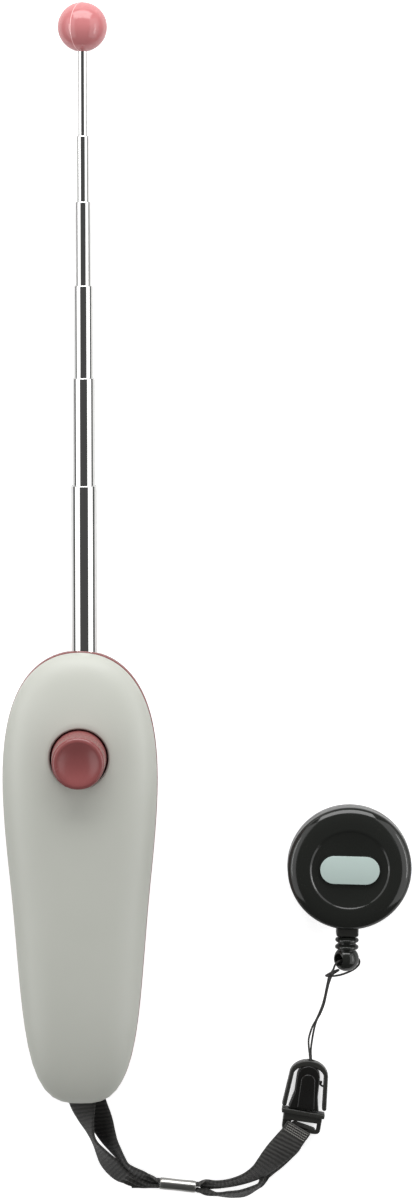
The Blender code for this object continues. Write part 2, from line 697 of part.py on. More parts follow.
def make_clicker():
    """Spring leaf, dimpled under the stem, and the bridge over the mast that holds its tail."""
    leaf_foot = LEAF_TOP_Z - LEAF_THICKNESS
    leaf = part(block("clicker_leaf", (-LEAF_WIDTH / 2, LEAF_TAIL_Y, leaf_foot),
                      (LEAF_WIDTH / 2, LEAF_TIP_Y, LEAF_TOP_Z)), STEEL)
    dimple = rod("leaf_dimple", LEAF_DIMPLE_RADIUS, (0.0, BUTTON_Y, leaf_foot - LEAF_THICKNESS),
                 (0.0, BUTTON_Y, leaf_foot + LEAF_THICKNESS / 2), SMALL_SIDES)
    shape(leaf, dimple, "UNION")
    bridge_top = leaf_foot - SEAT_GAP
    seat_low, seat_high = LEAF_TAIL_Y, LEAF_TAIL_Y + LEAF_SEAT_LENGTH
    base = part(block("clicker_base", (-BASE_LEG_X - BASE_LEG_WIDTH / 2, seat_low,
                                       bridge_top - BASE_BRIDGE_THICKNESS),
                      (BASE_LEG_X + BASE_LEG_WIDTH / 2, seat_high, bridge_top)), WHITE_PLASTIC)
    for side in (-1, 1):
        inner = side * (BASE_LEG_X - BASE_LEG_WIDTH / 2)
        outer = side * (BASE_LEG_X + BASE_LEG_WIDTH / 2)
        floor = max(floor_under(outer, seat_low), floor_under(outer, seat_high)) + SEAT_GAP
        leg = block(f"base_leg_{'left' if side < 0 else 'right'}",
                    (min(inner, outer), seat_low, floor),
                    (max(inner, outer), seat_high, bridge_top - BASE_BRIDGE_THICKNESS / 2))
        shape(base, leg, "UNION")
        wall = block(f"base_wall_{'left' if side < 0 else 'right'}",
                     (side * (LEAF_WIDTH / 2 + SEAT_GAP) - (side < 0) * BASE_CHEEK, seat_low,
                      bridge_top - BASE_BRIDGE_THICKNESS / 2),
                     (side * (LEAF_WIDTH / 2 + SEAT_GAP) + (side > 0) * BASE_CHEEK, seat_high,
                      LEAF_TOP_Z + LEAF_THICKNESS))
        shape(base, wall, "UNION")


def make_strap_pin():
    pin = part(rod("strap_pin", PIN_RADIUS, (-PIN_LENGTH / 2, PIN_Y, PIN_Z),
                   (PIN_LENGTH / 2, PIN_Y, PIN_Z), SMALL_SIDES), STEEL)
    return pin


def webbing_section(centre, along, across, width, thickness):
    """Eight points round a flat strip, square to its run, slightly thinner at its edges."""
    along = Vector(along).normalized()
    across = Vector(across)
    across = (across - along * across.dot(along)).normalized()
    up = along.cross(across)
    half, thick = width / 2, thickness / 2
    ring = [(-half, -thick * 0.5), (-half * 0.9, -thick), (half * 0.9, -thick),
            (half, -thick * 0.5), (half, thick * 0.5), (half * 0.9, thick),
            (-half * 0.9, thick), (-half, thick * 0.5)]
    return [Vector(centre) + across * a + up * b for a, b in ring]


def webbing_run(name, stations):
    """A strip lofted through stations of centre, across direction and width."""
    centres = [Vector(centre) for centre, _, _ in stations]
    sections = []
    for i, (centre, across, width) in enumerate(stations):
        before = centres[max(i - 1, 0)]
        after = centres[min(i + 1, len(stations) - 1)]
        thickness = WEBBING_THICKNESS
        if width < CRIMP_RADIUS:
            thickness = WEBBING_IN_CRIMP_THICKNESS
        sections.append(webbing_section(centre, after - before, across, width, thickness))
    return part(loft(name, sections), BLACK_WEBBING)


def tilted(plan, tilt):
    """An across direction that lies along a plan direction, turned up by a tilt."""
    flat = Vector((plan[0], plan[1], 0.0)).normalized()
    angle = math.radians(tilt)
    return flat * math.cos(angle) + Vector((0.0, 0.0, 1.0)) * math.sin(angle)


def pin_wrap(side, shift):
    """Half of the webbing's turn round the handle's pin, +1 over it, -1 under it."""
    reach = PIN_RADIUS + SEAT_GAP + WEBBING_THICKNESS / 2
    stations = []
    for angle in (9, 40, 70, 100, 125):
        turn = math.radians(angle)
        centre = (shift, PIN_Y + reach * math.cos(turn), PIN_Z + side * reach * math.sin(turn))
        stations.append((centre, (1.0, 0.0, 0.0), WEBBING_WIDTH))
    return stations


def bar_wrap(side):
    """Half of the webbing's turn round the buckle's bar, +1 over it, -1 under it."""
    bar = buckle_point(0.0, WEB_LOOP_BAR / 2 - WEB_LOOP_END)
    across = buckle_point(1.0, 0.0) - buckle_point(0.0, 0.0)
    along = buckle_point(0.0, 1.0) - buckle_point(0.0, 0.0)
    corner = math.hypot(WEB_LOOP_BAR / 2, WEB_LOOP_HEIGHT / 2)
    reach = corner + SEAT_GAP + WEBBING_THICKNESS / 2
    stations = []
    for angle in (120, 90, 60, 35, 10):
        turn = math.radians(angle)
        centre = bar + along * reach * math.cos(turn)
        centre.z += side * reach * math.sin(turn)
        stations.append((centre, across, WEBBING_FOLD_WIDTH))
    return stations


def crimp_stations(offset):
    """One layer's straight run through the crimp, beside the other layer."""
    along = (CRIMP_END - CRIMP_START).normalized()
    aside = Vector((-along.y, along.x, 0.0)) * offset
    ends = (CRIMP_START - along * CRIMP_MARGIN, CRIMP_START, CRIMP_END,
            CRIMP_END + along * CRIMP_MARGIN)
    return [(end + aside, (0.0, 0.0, 1.0), WEBBING_IN_CRIMP_WIDTH) for end in ends]


def buckle_point(u, v):
    """A place in the buckle's own frame, at the height of its middle."""
    turn = Matrix.Rotation(BUCKLE_TURN, 3, "Z")
    return BUCKLE_PLACE + turn @ Vector((u, v, 0.0))


def strap_stations(rows):
    return [((x, y + FOOT_MOVE, z), tilted((plan_x, plan_y), tilt), width)
            for x, y, z, plan_x, plan_y, tilt, width in rows]


def make_strap():
    """Both layers of the webbing loop, each from the pin through the crimp to the bar."""
    full = WEBBING_WIDTH
    outer = pin_wrap(1, 0.0004)
    outer += strap_stations((
        (0.0003, -0.0575, 0.0088, 1.0, 0.0, 0, full),
        (0.0003, -0.0605, 0.0081, 1.0, 0.1, 4, full),
        (0.0008, -0.0645, 0.0066, 1.0, 0.2, 22, full),
        (0.0016, -0.0690, 0.0058, 1.0, 0.3, 55, full),
        (0.0030, -0.0742, 0.0054, 0.9, 0.4, 74, full),
        (0.0058, -0.0794, 0.0050, 0.8, 0.6, 66, full),
        (0.0096, -0.0830, 0.0043, 0.6, 0.8, 56, 0.0070),
        (0.0140, -0.0853, 0.0034, 0.3, 0.9, 55, 0.0050),
        (0.0178, -0.0863, 0.0027, 0.1, 1.0, 70, 0.0030)))
    outer += crimp_stations(-CRIMP_LAYER_OFFSET)
    outer += strap_stations((
        (0.0345, -0.0886, 0.0024, 0.1, -1.0, 84, 0.0028),
        (0.0388, -0.0893, 0.0030, 0.1, -1.0, 78, 0.0050),
        (0.0436, -0.0890, 0.0039, 0.3, -0.9, 72, 0.0072),
        (0.0481, -0.0868, 0.0037, 0.6, -0.8, 60, 0.0072),
        (0.0524, -0.0828, 0.0023, 0.8, -0.7, 28, full),
        (0.0559, -0.0788, 0.0013, 0.9, -0.6, 6, full),
        (0.0583, -0.0758, 0.0009, 1.0, -0.3, 0, full)))
    inner = pin_wrap(-1, 0.0010)
    inner += strap_stations((
        (0.0012, -0.0575, 0.0055, 1.0, 0.0, 0, full),
        (0.0019, -0.0605, 0.0055, 1.0, 0.1, 0, full),
        (0.0034, -0.0645, 0.0046, 1.0, 0.2, 5, full),
        (0.0052, -0.0692, 0.0040, 1.0, 0.3, 22, full),
        (0.0071, -0.0735, 0.0044, 0.9, 0.4, 50, full),
        (0.0097, -0.0776, 0.0045, 0.8, 0.6, 68, full),
        (0.0126, -0.0806, 0.0040, 0.6, 0.8, 72, 0.0070),
        (0.0158, -0.0832, 0.0033, 0.4, 0.9, 70, 0.0050),
        (0.0186, -0.0849, 0.0027, 0.2, 1.0, 78, 0.0030)))
    inner += crimp_stations(CRIMP_LAYER_OFFSET)
    inner += strap_stations((
        (0.0345, -0.0872, 0.0028, 0.1, -1.0, 78, 0.0028),
        (0.0388, -0.0871, 0.0036, 0.1, -1.0, 70, 0.0052),
        (0.0436, -0.0860, 0.0046, 0.3, -0.9, 66, 0.0076),
        (0.0481, -0.0833, 0.0050, 0.6, -0.8, 50, full),
        (0.0520, -0.0796, 0.0046, 0.8, -0.7, 25, full),
        (0.0555, -0.0766, 0.0042, 0.9, -0.6, 6, full),
        (0.0582, -0.0743, 0.0040, 1.0, -0.3, 0, full)))
    webbing_run("strap_outer_run", outer + bar_wrap(-1))
    webbing_run("strap_inner_run", inner + bar_wrap(1))


def make_crimp():
    along = CRIMP_END - CRIMP_START
    half = along.length / 2
    bore = CRIMP_RADIUS - CRIMP_WALL
    profile = [(bore, half), (CRIMP_RADIUS - CRIMP_WALL / 2, half),
               (CRIMP_RADIUS, half - CRIMP_WALL), (CRIMP_RADIUS, -half + CRIMP_WALL),
               (CRIMP_RADIUS - CRIMP_WALL / 2, -half), (bore, -half)]
    crimp = part(turned("strap_crimp", profile, closed=True), STEEL)
    crimp.rotation_mode = "QUATERNION"
    crimp.rotation_quaternion = Vector((0.0, 0.0, 1.0)).rotation_difference(along)
    crimp.location = (CRIMP_START + CRIMP_END) / 2


def make_frame(name, location, turn):
    """An empty that carries an assembly lying turned on the table."""
    frame = bpy.data.objects.new(name, None)
    PARTS.objects.link(frame)
    return place(frame, location, (0.0, 0.0, turn))


def make_buckle():
    """Quick-release buckle: the plug on the webbing, the arch and its sleeve on the cord."""
    frame = make_frame("buckle_frame", BUCKLE_PLACE, BUCKLE_TURN)
    half_bar = CROSSBAR_LENGTH / 2
    plug = part(block("buckle_plug", (-CROSSBAR_WIDTH / 2, -half_bar, -CROSSBAR_HEIGHT / 2),
                      (CROSSBAR_WIDTH / 2, half_bar, CROSSBAR_HEIGHT / 2), BUCKLE_EDGE), BLACK_SATIN)
    place(plug, parent=frame)
    half_loop = WEB_LOOP_WIDTH / 2
    outer = rounded_rectangle((-half_loop, -WEB_LOOP_END), (half_loop, 0.0), WEB_LOOP_CORNER)
    inner = rounded_rectangle((WEB_LOOP_BAR - half_loop, WEB_LOOP_BAR - WEB_LOOP_END),
                              (half_loop - WEB_LOOP_BAR, -half_bar - WEB_LOOP_SHOULDER),
                              WEB_LOOP_INNER_CORNER)
    web_loop = plate("web_loop", (outer, inner), -WEB_LOOP_HEIGHT / 2, WEB_LOOP_HEIGHT / 2)
    shape(plug, place(web_loop, parent=frame), "UNION")
    half_shoulder = half_loop - BUCKLE_EDGE / 3
    lift = WEB_LOOP_SHOULDER_HEIGHT / 2
    shoulder = block("plug_shoulder", (-half_shoulder, -half_bar - WEB_LOOP_SHOULDER, -lift),
                     (half_shoulder, 0.0, lift))
    shape(plug, place(shoulder, parent=frame), "UNION")
    neck = TONGUE_WIDTH / 2 - TONGUE_BARB
    tip = TONGUE_LENGTH
    barb = tip - TONGUE_TIP_LENGTH
    step = barb - TONGUE_STEP_LENGTH
    tongue_outline = [(-neck, 0.0), (neck, 0.0), (neck, step), (neck + TONGUE_BARB, barb),
                      (neck - TONGUE_BARB, tip), (TONGUE_BARB - neck, tip),
                      (-neck - TONGUE_BARB, barb), (-neck, step)]
    tongue = plate("plug_tongue", (tongue_outline,), -TONGUE_HEIGHT / 2, TONGUE_HEIGHT / 2)
    shape(plug, place(tongue, parent=frame), "UNION")

    foot = half_bar + ARCH_FOOT_GAP
    leg = ARCH_LEG_WIDTH
    crown = (0.0, ARCH_SPRING_LINE)
    outer = arc(crown, ARCH_TOP_HALF_WIDTH, ARCH_LENGTH - ARCH_SPRING_LINE, 0, 180, 16)
    outer += [(-ARCH_FOOT_HALF_WIDTH, foot + leg / 3), (-ARCH_FOOT_HALF_WIDTH + leg / 3, foot),
              (-ARCH_FOOT_HALF_WIDTH + leg * 2 / 3, foot),
              (-ARCH_FOOT_HALF_WIDTH + leg, foot + leg / 3)]
    outer += reversed(arc(crown, ARCH_TOP_HALF_WIDTH - leg,
                          ARCH_LENGTH - ARCH_BAND - ARCH_SPRING_LINE, 0, 180, 16))
    outer += [(ARCH_FOOT_HALF_WIDTH - leg, foot + leg / 3),
              (ARCH_FOOT_HALF_WIDTH - leg * 2 / 3, foot),
              (ARCH_FOOT_HALF_WIDTH - leg / 3, foot), (ARCH_FOOT_HALF_WIDTH, foot + leg / 3)]
    arch = part(plate("buckle_arch", (outer,), -ARCH_HEIGHT / 2, ARCH_HEIGHT / 2), BLACK_SATIN)
    place(arch, parent=frame)
    sleeve_foot = half_bar + SEAT_GAP
    sleeve_top = ARCH_LENGTH - ARCH_BAND / 2
    sleeve_outline = [(-SLEEVE_FOOT_HALF_WIDTH, sleeve_foot), (SLEEVE_FOOT_HALF_WIDTH, sleeve_foot),
                      (SLEEVE_HALF_WIDTH, SLEEVE_FLARE_START)]
    sleeve_outline += arc((0.0, sleeve_top - SLEEVE_HALF_WIDTH), SLEEVE_HALF_WIDTH,
                          SLEEVE_HALF_WIDTH, 0, 180, 10)
    sleeve_outline += [(-SLEEVE_HALF_WIDTH, SLEEVE_FLARE_START)]
    sleeve = plate("sleeve", (sleeve_outline,), -SLEEVE_HEIGHT / 2, SLEEVE_HEIGHT / 2)
    shape(arch, place(sleeve, parent=frame), "UNION")
    panel_half = SLEEVE_PANEL_HALF_WIDTH
    panel_foot = sleeve_foot + SLEEVE_PANEL_SETBACK
    panel_outline = [(-panel_half, panel_foot), (panel_half, panel_foot)]
    panel_outline += arc((0.0, SLEEVE_PANEL_END - panel_half), panel_half, panel_half, 0, 180, 8)
    panel = plate("sleeve_panel", (panel_outline,), 0.0, SLEEVE_HEIGHT / 2 + SLEEVE_PANEL_PROUD)
    shape(arch, place(panel, parent=frame), "UNION")
    socket = block("sleeve_socket",
                   (-TONGUE_WIDTH / 2 - SEAT_GAP, 0.0, -TONGUE_HEIGHT / 2 - SEAT_GAP),
                   (TONGUE_WIDTH / 2 + SEAT_GAP, TONGUE_LENGTH + SEAT_GAP,
                    TONGUE_HEIGHT / 2 + SEAT_GAP))
    shape(arch, place(socket, parent=frame), "DIFFERENCE")
    pocket_foot = ARCH_LENGTH - ARCH_BAND - 2 * KNOT_RADIUS - 2 * SEAT_GAP
    pocket = block("knot_pocket", (-2 * KNOT_RADIUS, pocket_foot, -SLEEVE_HEIGHT),
                   (2 * KNOT_RADIUS, ARCH_LENGTH - ARCH_BAND, KNOT_RADIUS + SEAT_GAP))
    shape(arch, place(pocket, parent=frame), "DIFFERENCE")
    hole = rod("cord_hole", CORD_HOLE_RADIUS, (0.0, pocket_foot, 0.0),
               (0.0, ARCH_LENGTH * 1.2, 0.0), 12)
    shape(arch, place(hole, parent=frame), "DIFFERENCE")

    def build(work):
        bmesh.ops.create_uvsphere(work, u_segments=12, v_segments=8, radius=KNOT_RADIUS)
        bmesh.ops.scale(work, vec=(1.3, 0.85, 0.9), verts=work.verts)
    knot = part(mesh_object("cord_knot", build), BLACK_CORD)
    knot_v = ARCH_LENGTH - ARCH_BAND - KNOT_RADIUS - SEAT_GAP
    place(knot, (0.0, knot_v, 0.0), parent=frame)
    neck = rod("knot_neck", CORD_HOLE_RADIUS - SEAT_GAP, (0.0, knot_v, 0.0),
               (0.0, ARCH_LENGTH, 0.0), 12)
    shape(knot, place(neck, parent=frame), "UNION")


def make_loop_cord():
    """The doubled cord: out of the arch, through the stopper's ball, round it and back."""
    route = (
        (0.06238, -0.05200, 0.00262), (0.06234, -0.05050, 0.00258), (0.06222, -0.04890, 0.00225),
        (0.06200, -0.04650, 0.00150), (0.06235, -0.04430, 0.00150), (0.06340, -0.04200, 0.00180),
        (0.06445, -0.03980, 0.00220), (0.06555, -0.03690, 0.00290), (0.06640, -0.03390, 0.00380),
        (0.06700, -0.03120, 0.00460), (0.06790, -0.02840, 0.00620), (0.06835, -0.02620, 0.00800),
        (0.06880, -0.02450, 0.01000), (0.06980, -0.02345, 0.01020), (0.07190, -0.02315, 0.00830),
        (0.07390, -0.02330, 0.00640), (0.07540, -0.02390, 0.00460), (0.07570, -0.02520, 0.00320),
        (0.07450, -0.02700, 0.00280), (0.07240, -0.02830, 0.00300), (0.07000, -0.02900, 0.00360),
        (0.06780, -0.02930, 0.00420), (0.06655, -0.02890, 0.00480), (0.06665, -0.02800, 0.00420),
        (0.06760, -0.02770, 0.00340), (0.06850, -0.02830, 0.00260), (0.06860, -0.02960, 0.00240),
        (0.06790, -0.03120, 0.00270), (0.06725, -0.03390, 0.00230), (0.06650, -0.03700, 0.00180),
        (0.06545, -0.03990, 0.00130), (0.06425, -0.04230, 0.00110), (0.06355, -0.04450, 0.00110),
        (0.06310, -0.04660, 0.00120), (0.06280, -0.04890, 0.00160), (0.06268, -0.05050, 0.00208),
        (0.06266, -0.05200, 0.00212))
    route = [(x, y + FOOT_MOVE, z) for x, y, z in route]
    part(cord_tube("loop_cord", route, LOOP_CORD_RADIUS, 0.0014), BLACK_CORD)


def reel_place():
    """The reel's middle: a ball, collar, outlet and radius away from the stopper's ball."""
    away = Vector((0.0, STOPPER_BALL_DROP - stopper_top_y(), 0.0))
    return STOPPER_BALL_PLACE + Matrix.Rotation(REEL_TURN, 3, "Z") @ away


def reel_shell(name, profile):
    return part(turned(name, profile, REEL_SIDES), BLACK_GLOSS)


def make_reel():
    """Retractable reel: two cups, outlet bush, axle, drum with its cord and clock spring."""
    frame = make_frame("reel_frame", reel_place(), REEL_TURN)
    radius, wall, edge = REEL_RADIUS, REEL_WALL, REEL_EDGE_ROUND
    face = REEL_FACE_Z
    split = REEL_PARTING_Z + SEAT_GAP / 2
    disc = REEL_DISC_RADIUS
    rise = REEL_DISC_RISE
    profile = [(0.0, face - rise), (disc - rise, face - rise), (disc, face)]
    for i in range(7):
        angle = math.radians(90 - 90 * i / 6)
        profile.append((radius - edge + edge * math.cos(angle),
                        face - rise / 2 - edge + edge * math.sin(angle)))
    profile += [(radius, split), (radius - wall, split), (radius - wall, face - edge),
                (radius - edge, face - wall - rise), (0.0, face - wall - rise)]
    front = place(reel_shell("reel_front_case", profile), parent=frame)

    back_split = REEL_PARTING_Z - SEAT_GAP / 2
    floor = REEL_BACK_Z + wall
    back_edge = wall
    profile = [(0.0, floor), (radius - wall, floor), (radius - wall, back_split),
               (radius, back_split), (radius, REEL_BACK_Z + back_edge),
               (radius - back_edge * 0.3, REEL_BACK_Z + back_edge * 0.3),
               (radius - back_edge, REEL_BACK_Z), (0.0, REEL_BACK_Z)]
    back = place(reel_shell("reel_back_case", profile), parent=frame)
    bore = rod("axle_bore", AXLE_RADIUS + SEAT_GAP, (0.0, 0.0, 0.0), (0.0, 0.0, face / 2))
    shape(back, place(bore, parent=frame), "DIFFERENCE")

    outlet_half = OUTLET_WIDTH / 2
    outlet_low = REEL_PARTING_Z - OUTLET_HEIGHT / 2
    outlet_high = REEL_PARTING_Z + OUTLET_HEIGHT / 2
    gap = SEAT_GAP
    for case, label in ((front, "front"), (back, "back")):
        notch = block(f"outlet_notch_{label}", (-outlet_half - gap, -2 * radius, outlet_low - gap),
                      (outlet_half + gap, -radius + OUTLET_INSIDE + gap, outlet_high + gap))
        shape(case, place(notch, parent=frame), "DIFFERENCE")
    outlet = part(block("reel_outlet", (-outlet_half, -radius - OUTLET_SHOWN, outlet_low),
                        (outlet_half, -radius + OUTLET_INSIDE, outlet_high), OUTLET_EDGE),
                  BLACK_SATIN)
    place(outlet, parent=frame)
    hole = rod("outlet_hole", OUTLET_HOLE_RADIUS, (0.0, -2 * radius, REEL_PARTING_Z),
               (0.0, 0.0, REEL_PARTING_Z), 12)
    shape(outlet, place(hole, parent=frame), "DIFFERENCE")

    plate_low = face - rise + SEAT_GAP
    half_long, half_wide = FACE_PLATE_LENGTH / 2, FACE_PLATE_WIDTH / 2
    outline = rounded_rectangle((-half_long, -half_wide), (half_long, half_wide),
                                half_wide * 0.999, 6)
    face_plate = part(plate("reel_face_plate", (outline,), plate_low,
                            plate_low + FACE_PLATE_THICKNESS), PALE_PLATE)
    place(face_plate, parent=frame)

    low, high, thick = SPOOL_FOOT_Z, SPOOL_TOP_Z, SPOOL_FLANGE_THICKNESS
    drum, flange = SPOOL_DRUM_RADIUS, SPOOL_FLANGE_RADIUS
    hub = AXLE_RADIUS + RUNNING_GAP
    profile = [(drum - SPOOL_WALL, high), (flange, high), (flange, high - thick),
               (drum, high - thick), (drum, low + thick), (flange, low + thick), (flange, low),
               (hub, low), (hub, low + thick), (drum - SPOOL_WALL, low + thick)]
    spool = part(turned("reel_spool", profile, closed=True), WHITE_PLASTIC)
    place(spool, parent=frame)
    profile = [(drum + gap, high - thick - gap), (WINDING_RADIUS, high - thick - gap),
               (WINDING_RADIUS, low + thick + gap), (drum + gap, low + thick + gap)]
    winding = part(turned("reel_cord_winding", profile, closed=True), BLACK_CORD)
    place(winding, parent=frame)
    shank_top = face - wall - rise - gap
    profile = [(0.0, shank_top), (AXLE_RADIUS, shank_top), (AXLE_RADIUS, REEL_BACK_Z + gap),
               (0.0, REEL_BACK_Z + gap)]
    axle = part(turned("reel_axle", profile, SMALL_SIDES), STEEL)
    place(axle, parent=frame)
    make_spiral_spring(frame)
    lead = part(rod("reel_pull_cord", PULL_CORD_RADIUS, (0.0, -WINDING_RADIUS - gap, REEL_PARTING_Z),
                    (0.0, stopper_top_y() + gap, REEL_PARTING_Z), 10), BLACK_CORD)
    place(lead, parent=frame)
    return frame


def make_spiral_spring(frame):
    """Clock spring: a flat strip wound from the axle out to the drum's wall."""
    inner = AXLE_RADIUS + RUNNING_GAP + SPRING_STRIP_THICKNESS
    outer = SPOOL_DRUM_RADIUS - SPOOL_WALL - SEAT_GAP - SPRING_STRIP_THICKNESS
    low = SPOOL_FOOT_Z + SPOOL_FLANGE_THICKNESS + SEAT_GAP
    high = SPOOL_TOP_Z - SEAT_GAP
    steps = 16 * SPRING_TURNS
    sections = []
    for i in range(steps + 1):
        angle = math.tau * SPRING_TURNS * i / steps
        radius = inner + (outer - inner) * i / steps
        near = radius - SPRING_STRIP_THICKNESS / 2
        far = radius + SPRING_STRIP_THICKNESS / 2
        cos, sin = math.cos(angle), math.sin(angle)
        sections.append([(near * cos, near * sin, low), (far * cos, far * sin, low),
                         (far * cos, far * sin, high), (near * cos, near * sin, high)])
    gap_between_turns = (outer - inner) / SPRING_TURNS - SPRING_STRIP_THICKNESS
    print(f"clock spring: {gap_between_turns * 1000:.2f} mm between its turns")
    spring = part(loft("reel_spiral_spring", sections), STEEL)
    place(spring, parent=frame)


def stopper_top_y():
    return -REEL_RADIUS - OUTLET_SHOWN - SEAT_GAP


def make_stopper(frame):
    """Ribbed collar and cross-drilled ball, turned about the cord's line."""
    neck, ring, pitch = STOPPER_NECK_RADIUS, STOPPER_RING_RADIUS, STOPPER_RING_PITCH
    profile = [(0.0, 0.0), (neck, 0.0)]
    for i in range(STOPPER_RING_COUNT):
        middle = -pitch * (i + 0.5)
        edge = ring - STOPPER_RING_EDGE
        profile += [(edge, middle + pitch * 0.26), (ring, middle + pitch * 0.1),
                    (ring, middle - pitch * 0.1), (edge, middle - pitch * 0.26),
                    (neck, middle - pitch / 2)]
    ball = STOPPER_BALL_RADIUS
    start = math.acos(neck / ball)
    shoulder = ball * math.sin(start) - STOPPER_BALL_DROP
    profile += [(ring - 2 * STOPPER_RING_EDGE, shoulder + STOPPER_RING_EDGE / 3)]
    steps = 10
    for i in range(steps):
        angle = start + (-math.pi / 2 - start) * (i + 1) / (steps + 1)
        profile.append((ball * math.cos(angle), ball * math.sin(angle) - STOPPER_BALL_DROP))
    profile.append((0.0, -STOPPER_BALL_DROP - ball))
    stopper = part(turned("cord_stopper", profile), BLACK_GLOSS)
    place(stopper, (0.0, stopper_top_y(), REEL_PARTING_Z), (-math.pi / 2, 0.0, 0.0), frame)
    aim = Vector((-math.cos(STOPPER_HOLE_RISE), 0.0, math.sin(STOPPER_HOLE_RISE)))
    middle = Vector((0.0, stopper_top_y() - STOPPER_BALL_DROP, REEL_PARTING_Z))
    hole = rod("stopper_hole", STOPPER_HOLE_RADIUS, middle - aim * 2 * ball, middle + aim * 2 * ball,
               SMALL_SIDES)
    shape(stopper, place(hole, parent=frame), "DIFFERENCE")


def make_belt_clip(frame):
    """Bent clip under the reel and the rivet it swivels on."""
    high = REEL_BACK_Z - SEAT_GAP
    low = high - CLIP_THICKNESS
    thick = CLIP_THICKNESS
    bend = high / 2
    side = [(CLIP_FRONT_Y / 2, high), (CLIP_BACK_Y - bend, high)]
    side += list(reversed(arc((CLIP_BACK_Y - bend, bend), bend, bend, -90, 90, 8)))[1:]
    lip = CLIP_FRONT_Y + CLIP_LIP_LENGTH
    side += [(lip, 0.0), (CLIP_FRONT_Y, CLIP_LIP_RISE), (CLIP_FRONT_Y, CLIP_LIP_RISE + thick),
             (lip, thick)]
    side += arc((CLIP_BACK_Y - bend, bend), bend - thick, bend - thick, -90, 90, 8)
    side += [(CLIP_FRONT_Y / 2, low)]
    clip = plate("belt_clip", (side,), -CLIP_WIDTH / 2, CLIP_WIDTH / 2)
    clip.data.transform(Matrix(((0, 0, 1, 0), (1, 0, 0, 0), (0, 1, 0, 0), (0, 0, 0, 1))))
    clip = part(clip, STEEL)
    place(clip, parent=frame)
    hole = rod("rivet_hole", RIVET_RADIUS + RUNNING_GAP, (0.0, RIVET_Y, low - SEAT_GAP),
               (0.0, RIVET_Y, high + SEAT_GAP), SMALL_SIDES)
    shape(clip, place(hole, parent=frame), "DIFFERENCE")
    head_top = low - RUNNING_GAP
    head_foot = head_top - RIVET_HEAD_HEIGHT
    profile = [(0.0, REEL_BACK_Z - SEAT_GAP), (RIVET_RADIUS, REEL_BACK_Z - SEAT_GAP),
               (RIVET_RADIUS, head_top), (RIVET_HEAD_RADIUS, head_top),
               (RIVET_HEAD_RADIUS * 0.8, head_foot), (0.0, head_foot)]
    rivet = part(turned("clip_rivet", profile, SMALL_SIDES), STEEL)
    place(rivet, (0.0, RIVET_Y, 0.0), parent=frame)


def main():
    make_front_shell()
    make_back_shell()
    make_screws()
    make_mast_guide()
    make_mast()
    make_tip_ball()
    make_button()
    make_clicker()
    make_strap_pin()
    make_strap()
    make_crimp()
    make_buckle()
    make_loop_cord()
    reel_frame = make_reel()
    make_stopper(reel_frame)
    make_belt_clip(reel_frame)


main()
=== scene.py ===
# %% [markdown]
# # A telescoping target stick with a clicker handle
#
# The stick lies on its back on a pale table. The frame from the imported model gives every
# body its place, and this lesson dresses it: smooth shells, chrome tubes, woven webbing,
# a little buckle and a retractable reel. All sizes are in metres, written in millimetres
# times MM where that reads better.

import math

import bmesh
import bpy
from mathutils import Matrix, Vector


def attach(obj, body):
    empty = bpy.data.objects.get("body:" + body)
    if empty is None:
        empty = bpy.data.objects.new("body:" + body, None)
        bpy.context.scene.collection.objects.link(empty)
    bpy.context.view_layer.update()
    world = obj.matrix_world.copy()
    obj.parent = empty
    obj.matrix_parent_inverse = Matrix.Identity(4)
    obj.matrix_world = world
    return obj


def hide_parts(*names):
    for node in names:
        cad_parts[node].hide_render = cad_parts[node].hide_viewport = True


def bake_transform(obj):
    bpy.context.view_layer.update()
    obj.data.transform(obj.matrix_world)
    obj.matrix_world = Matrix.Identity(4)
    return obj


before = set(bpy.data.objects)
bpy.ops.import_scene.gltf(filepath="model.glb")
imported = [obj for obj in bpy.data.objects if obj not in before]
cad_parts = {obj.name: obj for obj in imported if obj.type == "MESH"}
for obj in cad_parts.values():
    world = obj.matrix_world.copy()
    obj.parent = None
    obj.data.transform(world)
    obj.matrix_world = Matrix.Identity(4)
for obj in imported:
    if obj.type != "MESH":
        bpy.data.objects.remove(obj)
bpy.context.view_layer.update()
MM = 0.001

# %% [markdown]
# ## The camera
#
# The photograph was taken from above and a little beyond the handle's top end, with a long
# lens. A camera 1.2 m up, tipped by seven degrees, gives the same outlines. It comes first,
# because everything after it is judged through it.

# %% Place the camera
CAMERA_PLACE = Vector((33.85, 222.85, 1200.0)) * MM
CAMERA_TARGET = Vector((33.85, 73.85, 0.0)) * MM
SENSOR_HEIGHT = 36.0
FOCAL_IN_PIXELS = 4474.0
PHOTO_HEIGHT = 1200.0

bpy.ops.object.camera_add(location=CAMERA_PLACE)
camera = bpy.context.active_object
camera.name = "photo_camera"
looking = CAMERA_TARGET - CAMERA_PLACE
camera.rotation_euler = (math.atan2(looking.y, -looking.z), 0.0, 0.0)
camera.data.sensor_fit = "VERTICAL"
camera.data.sensor_height = SENSOR_HEIGHT
camera.data.lens = SENSOR_HEIGHT * FOCAL_IN_PIXELS / PHOTO_HEIGHT
camera.data.clip_start = 0.01
bpy.context.scene.camera = camera
bpy.context.scene.view_settings.view_transform = "Standard"
print(f"camera: {camera.data.lens:.1f} mm lens at {looking.length:.2f} m")

# %% [markdown]
# ## Ways of working by hand
#
# Nearly every piece here is either turned, like a tube, or cut from sheet, like a buckle.
# Both start as one vertex that is extruded from point to point. A turned piece is then
# spun about its axis, and a sheet piece is filled, drawn up and bevelled. These helpers
# do those few steps with the same operators that the Edit Mode menus call.

# %% Start a chain of vertices
WELD = 0.001 * MM


def to_object_mode():
    if bpy.context.object and bpy.context.object.mode != "OBJECT":
        bpy.ops.object.mode_set(mode="OBJECT")


def choose(piece):
    """Select one object only and make it active."""
    to_object_mode()
    bpy.ops.object.select_all(action="DESELECT")
    piece.select_set(True)
    bpy.context.view_layer.objects.active = piece


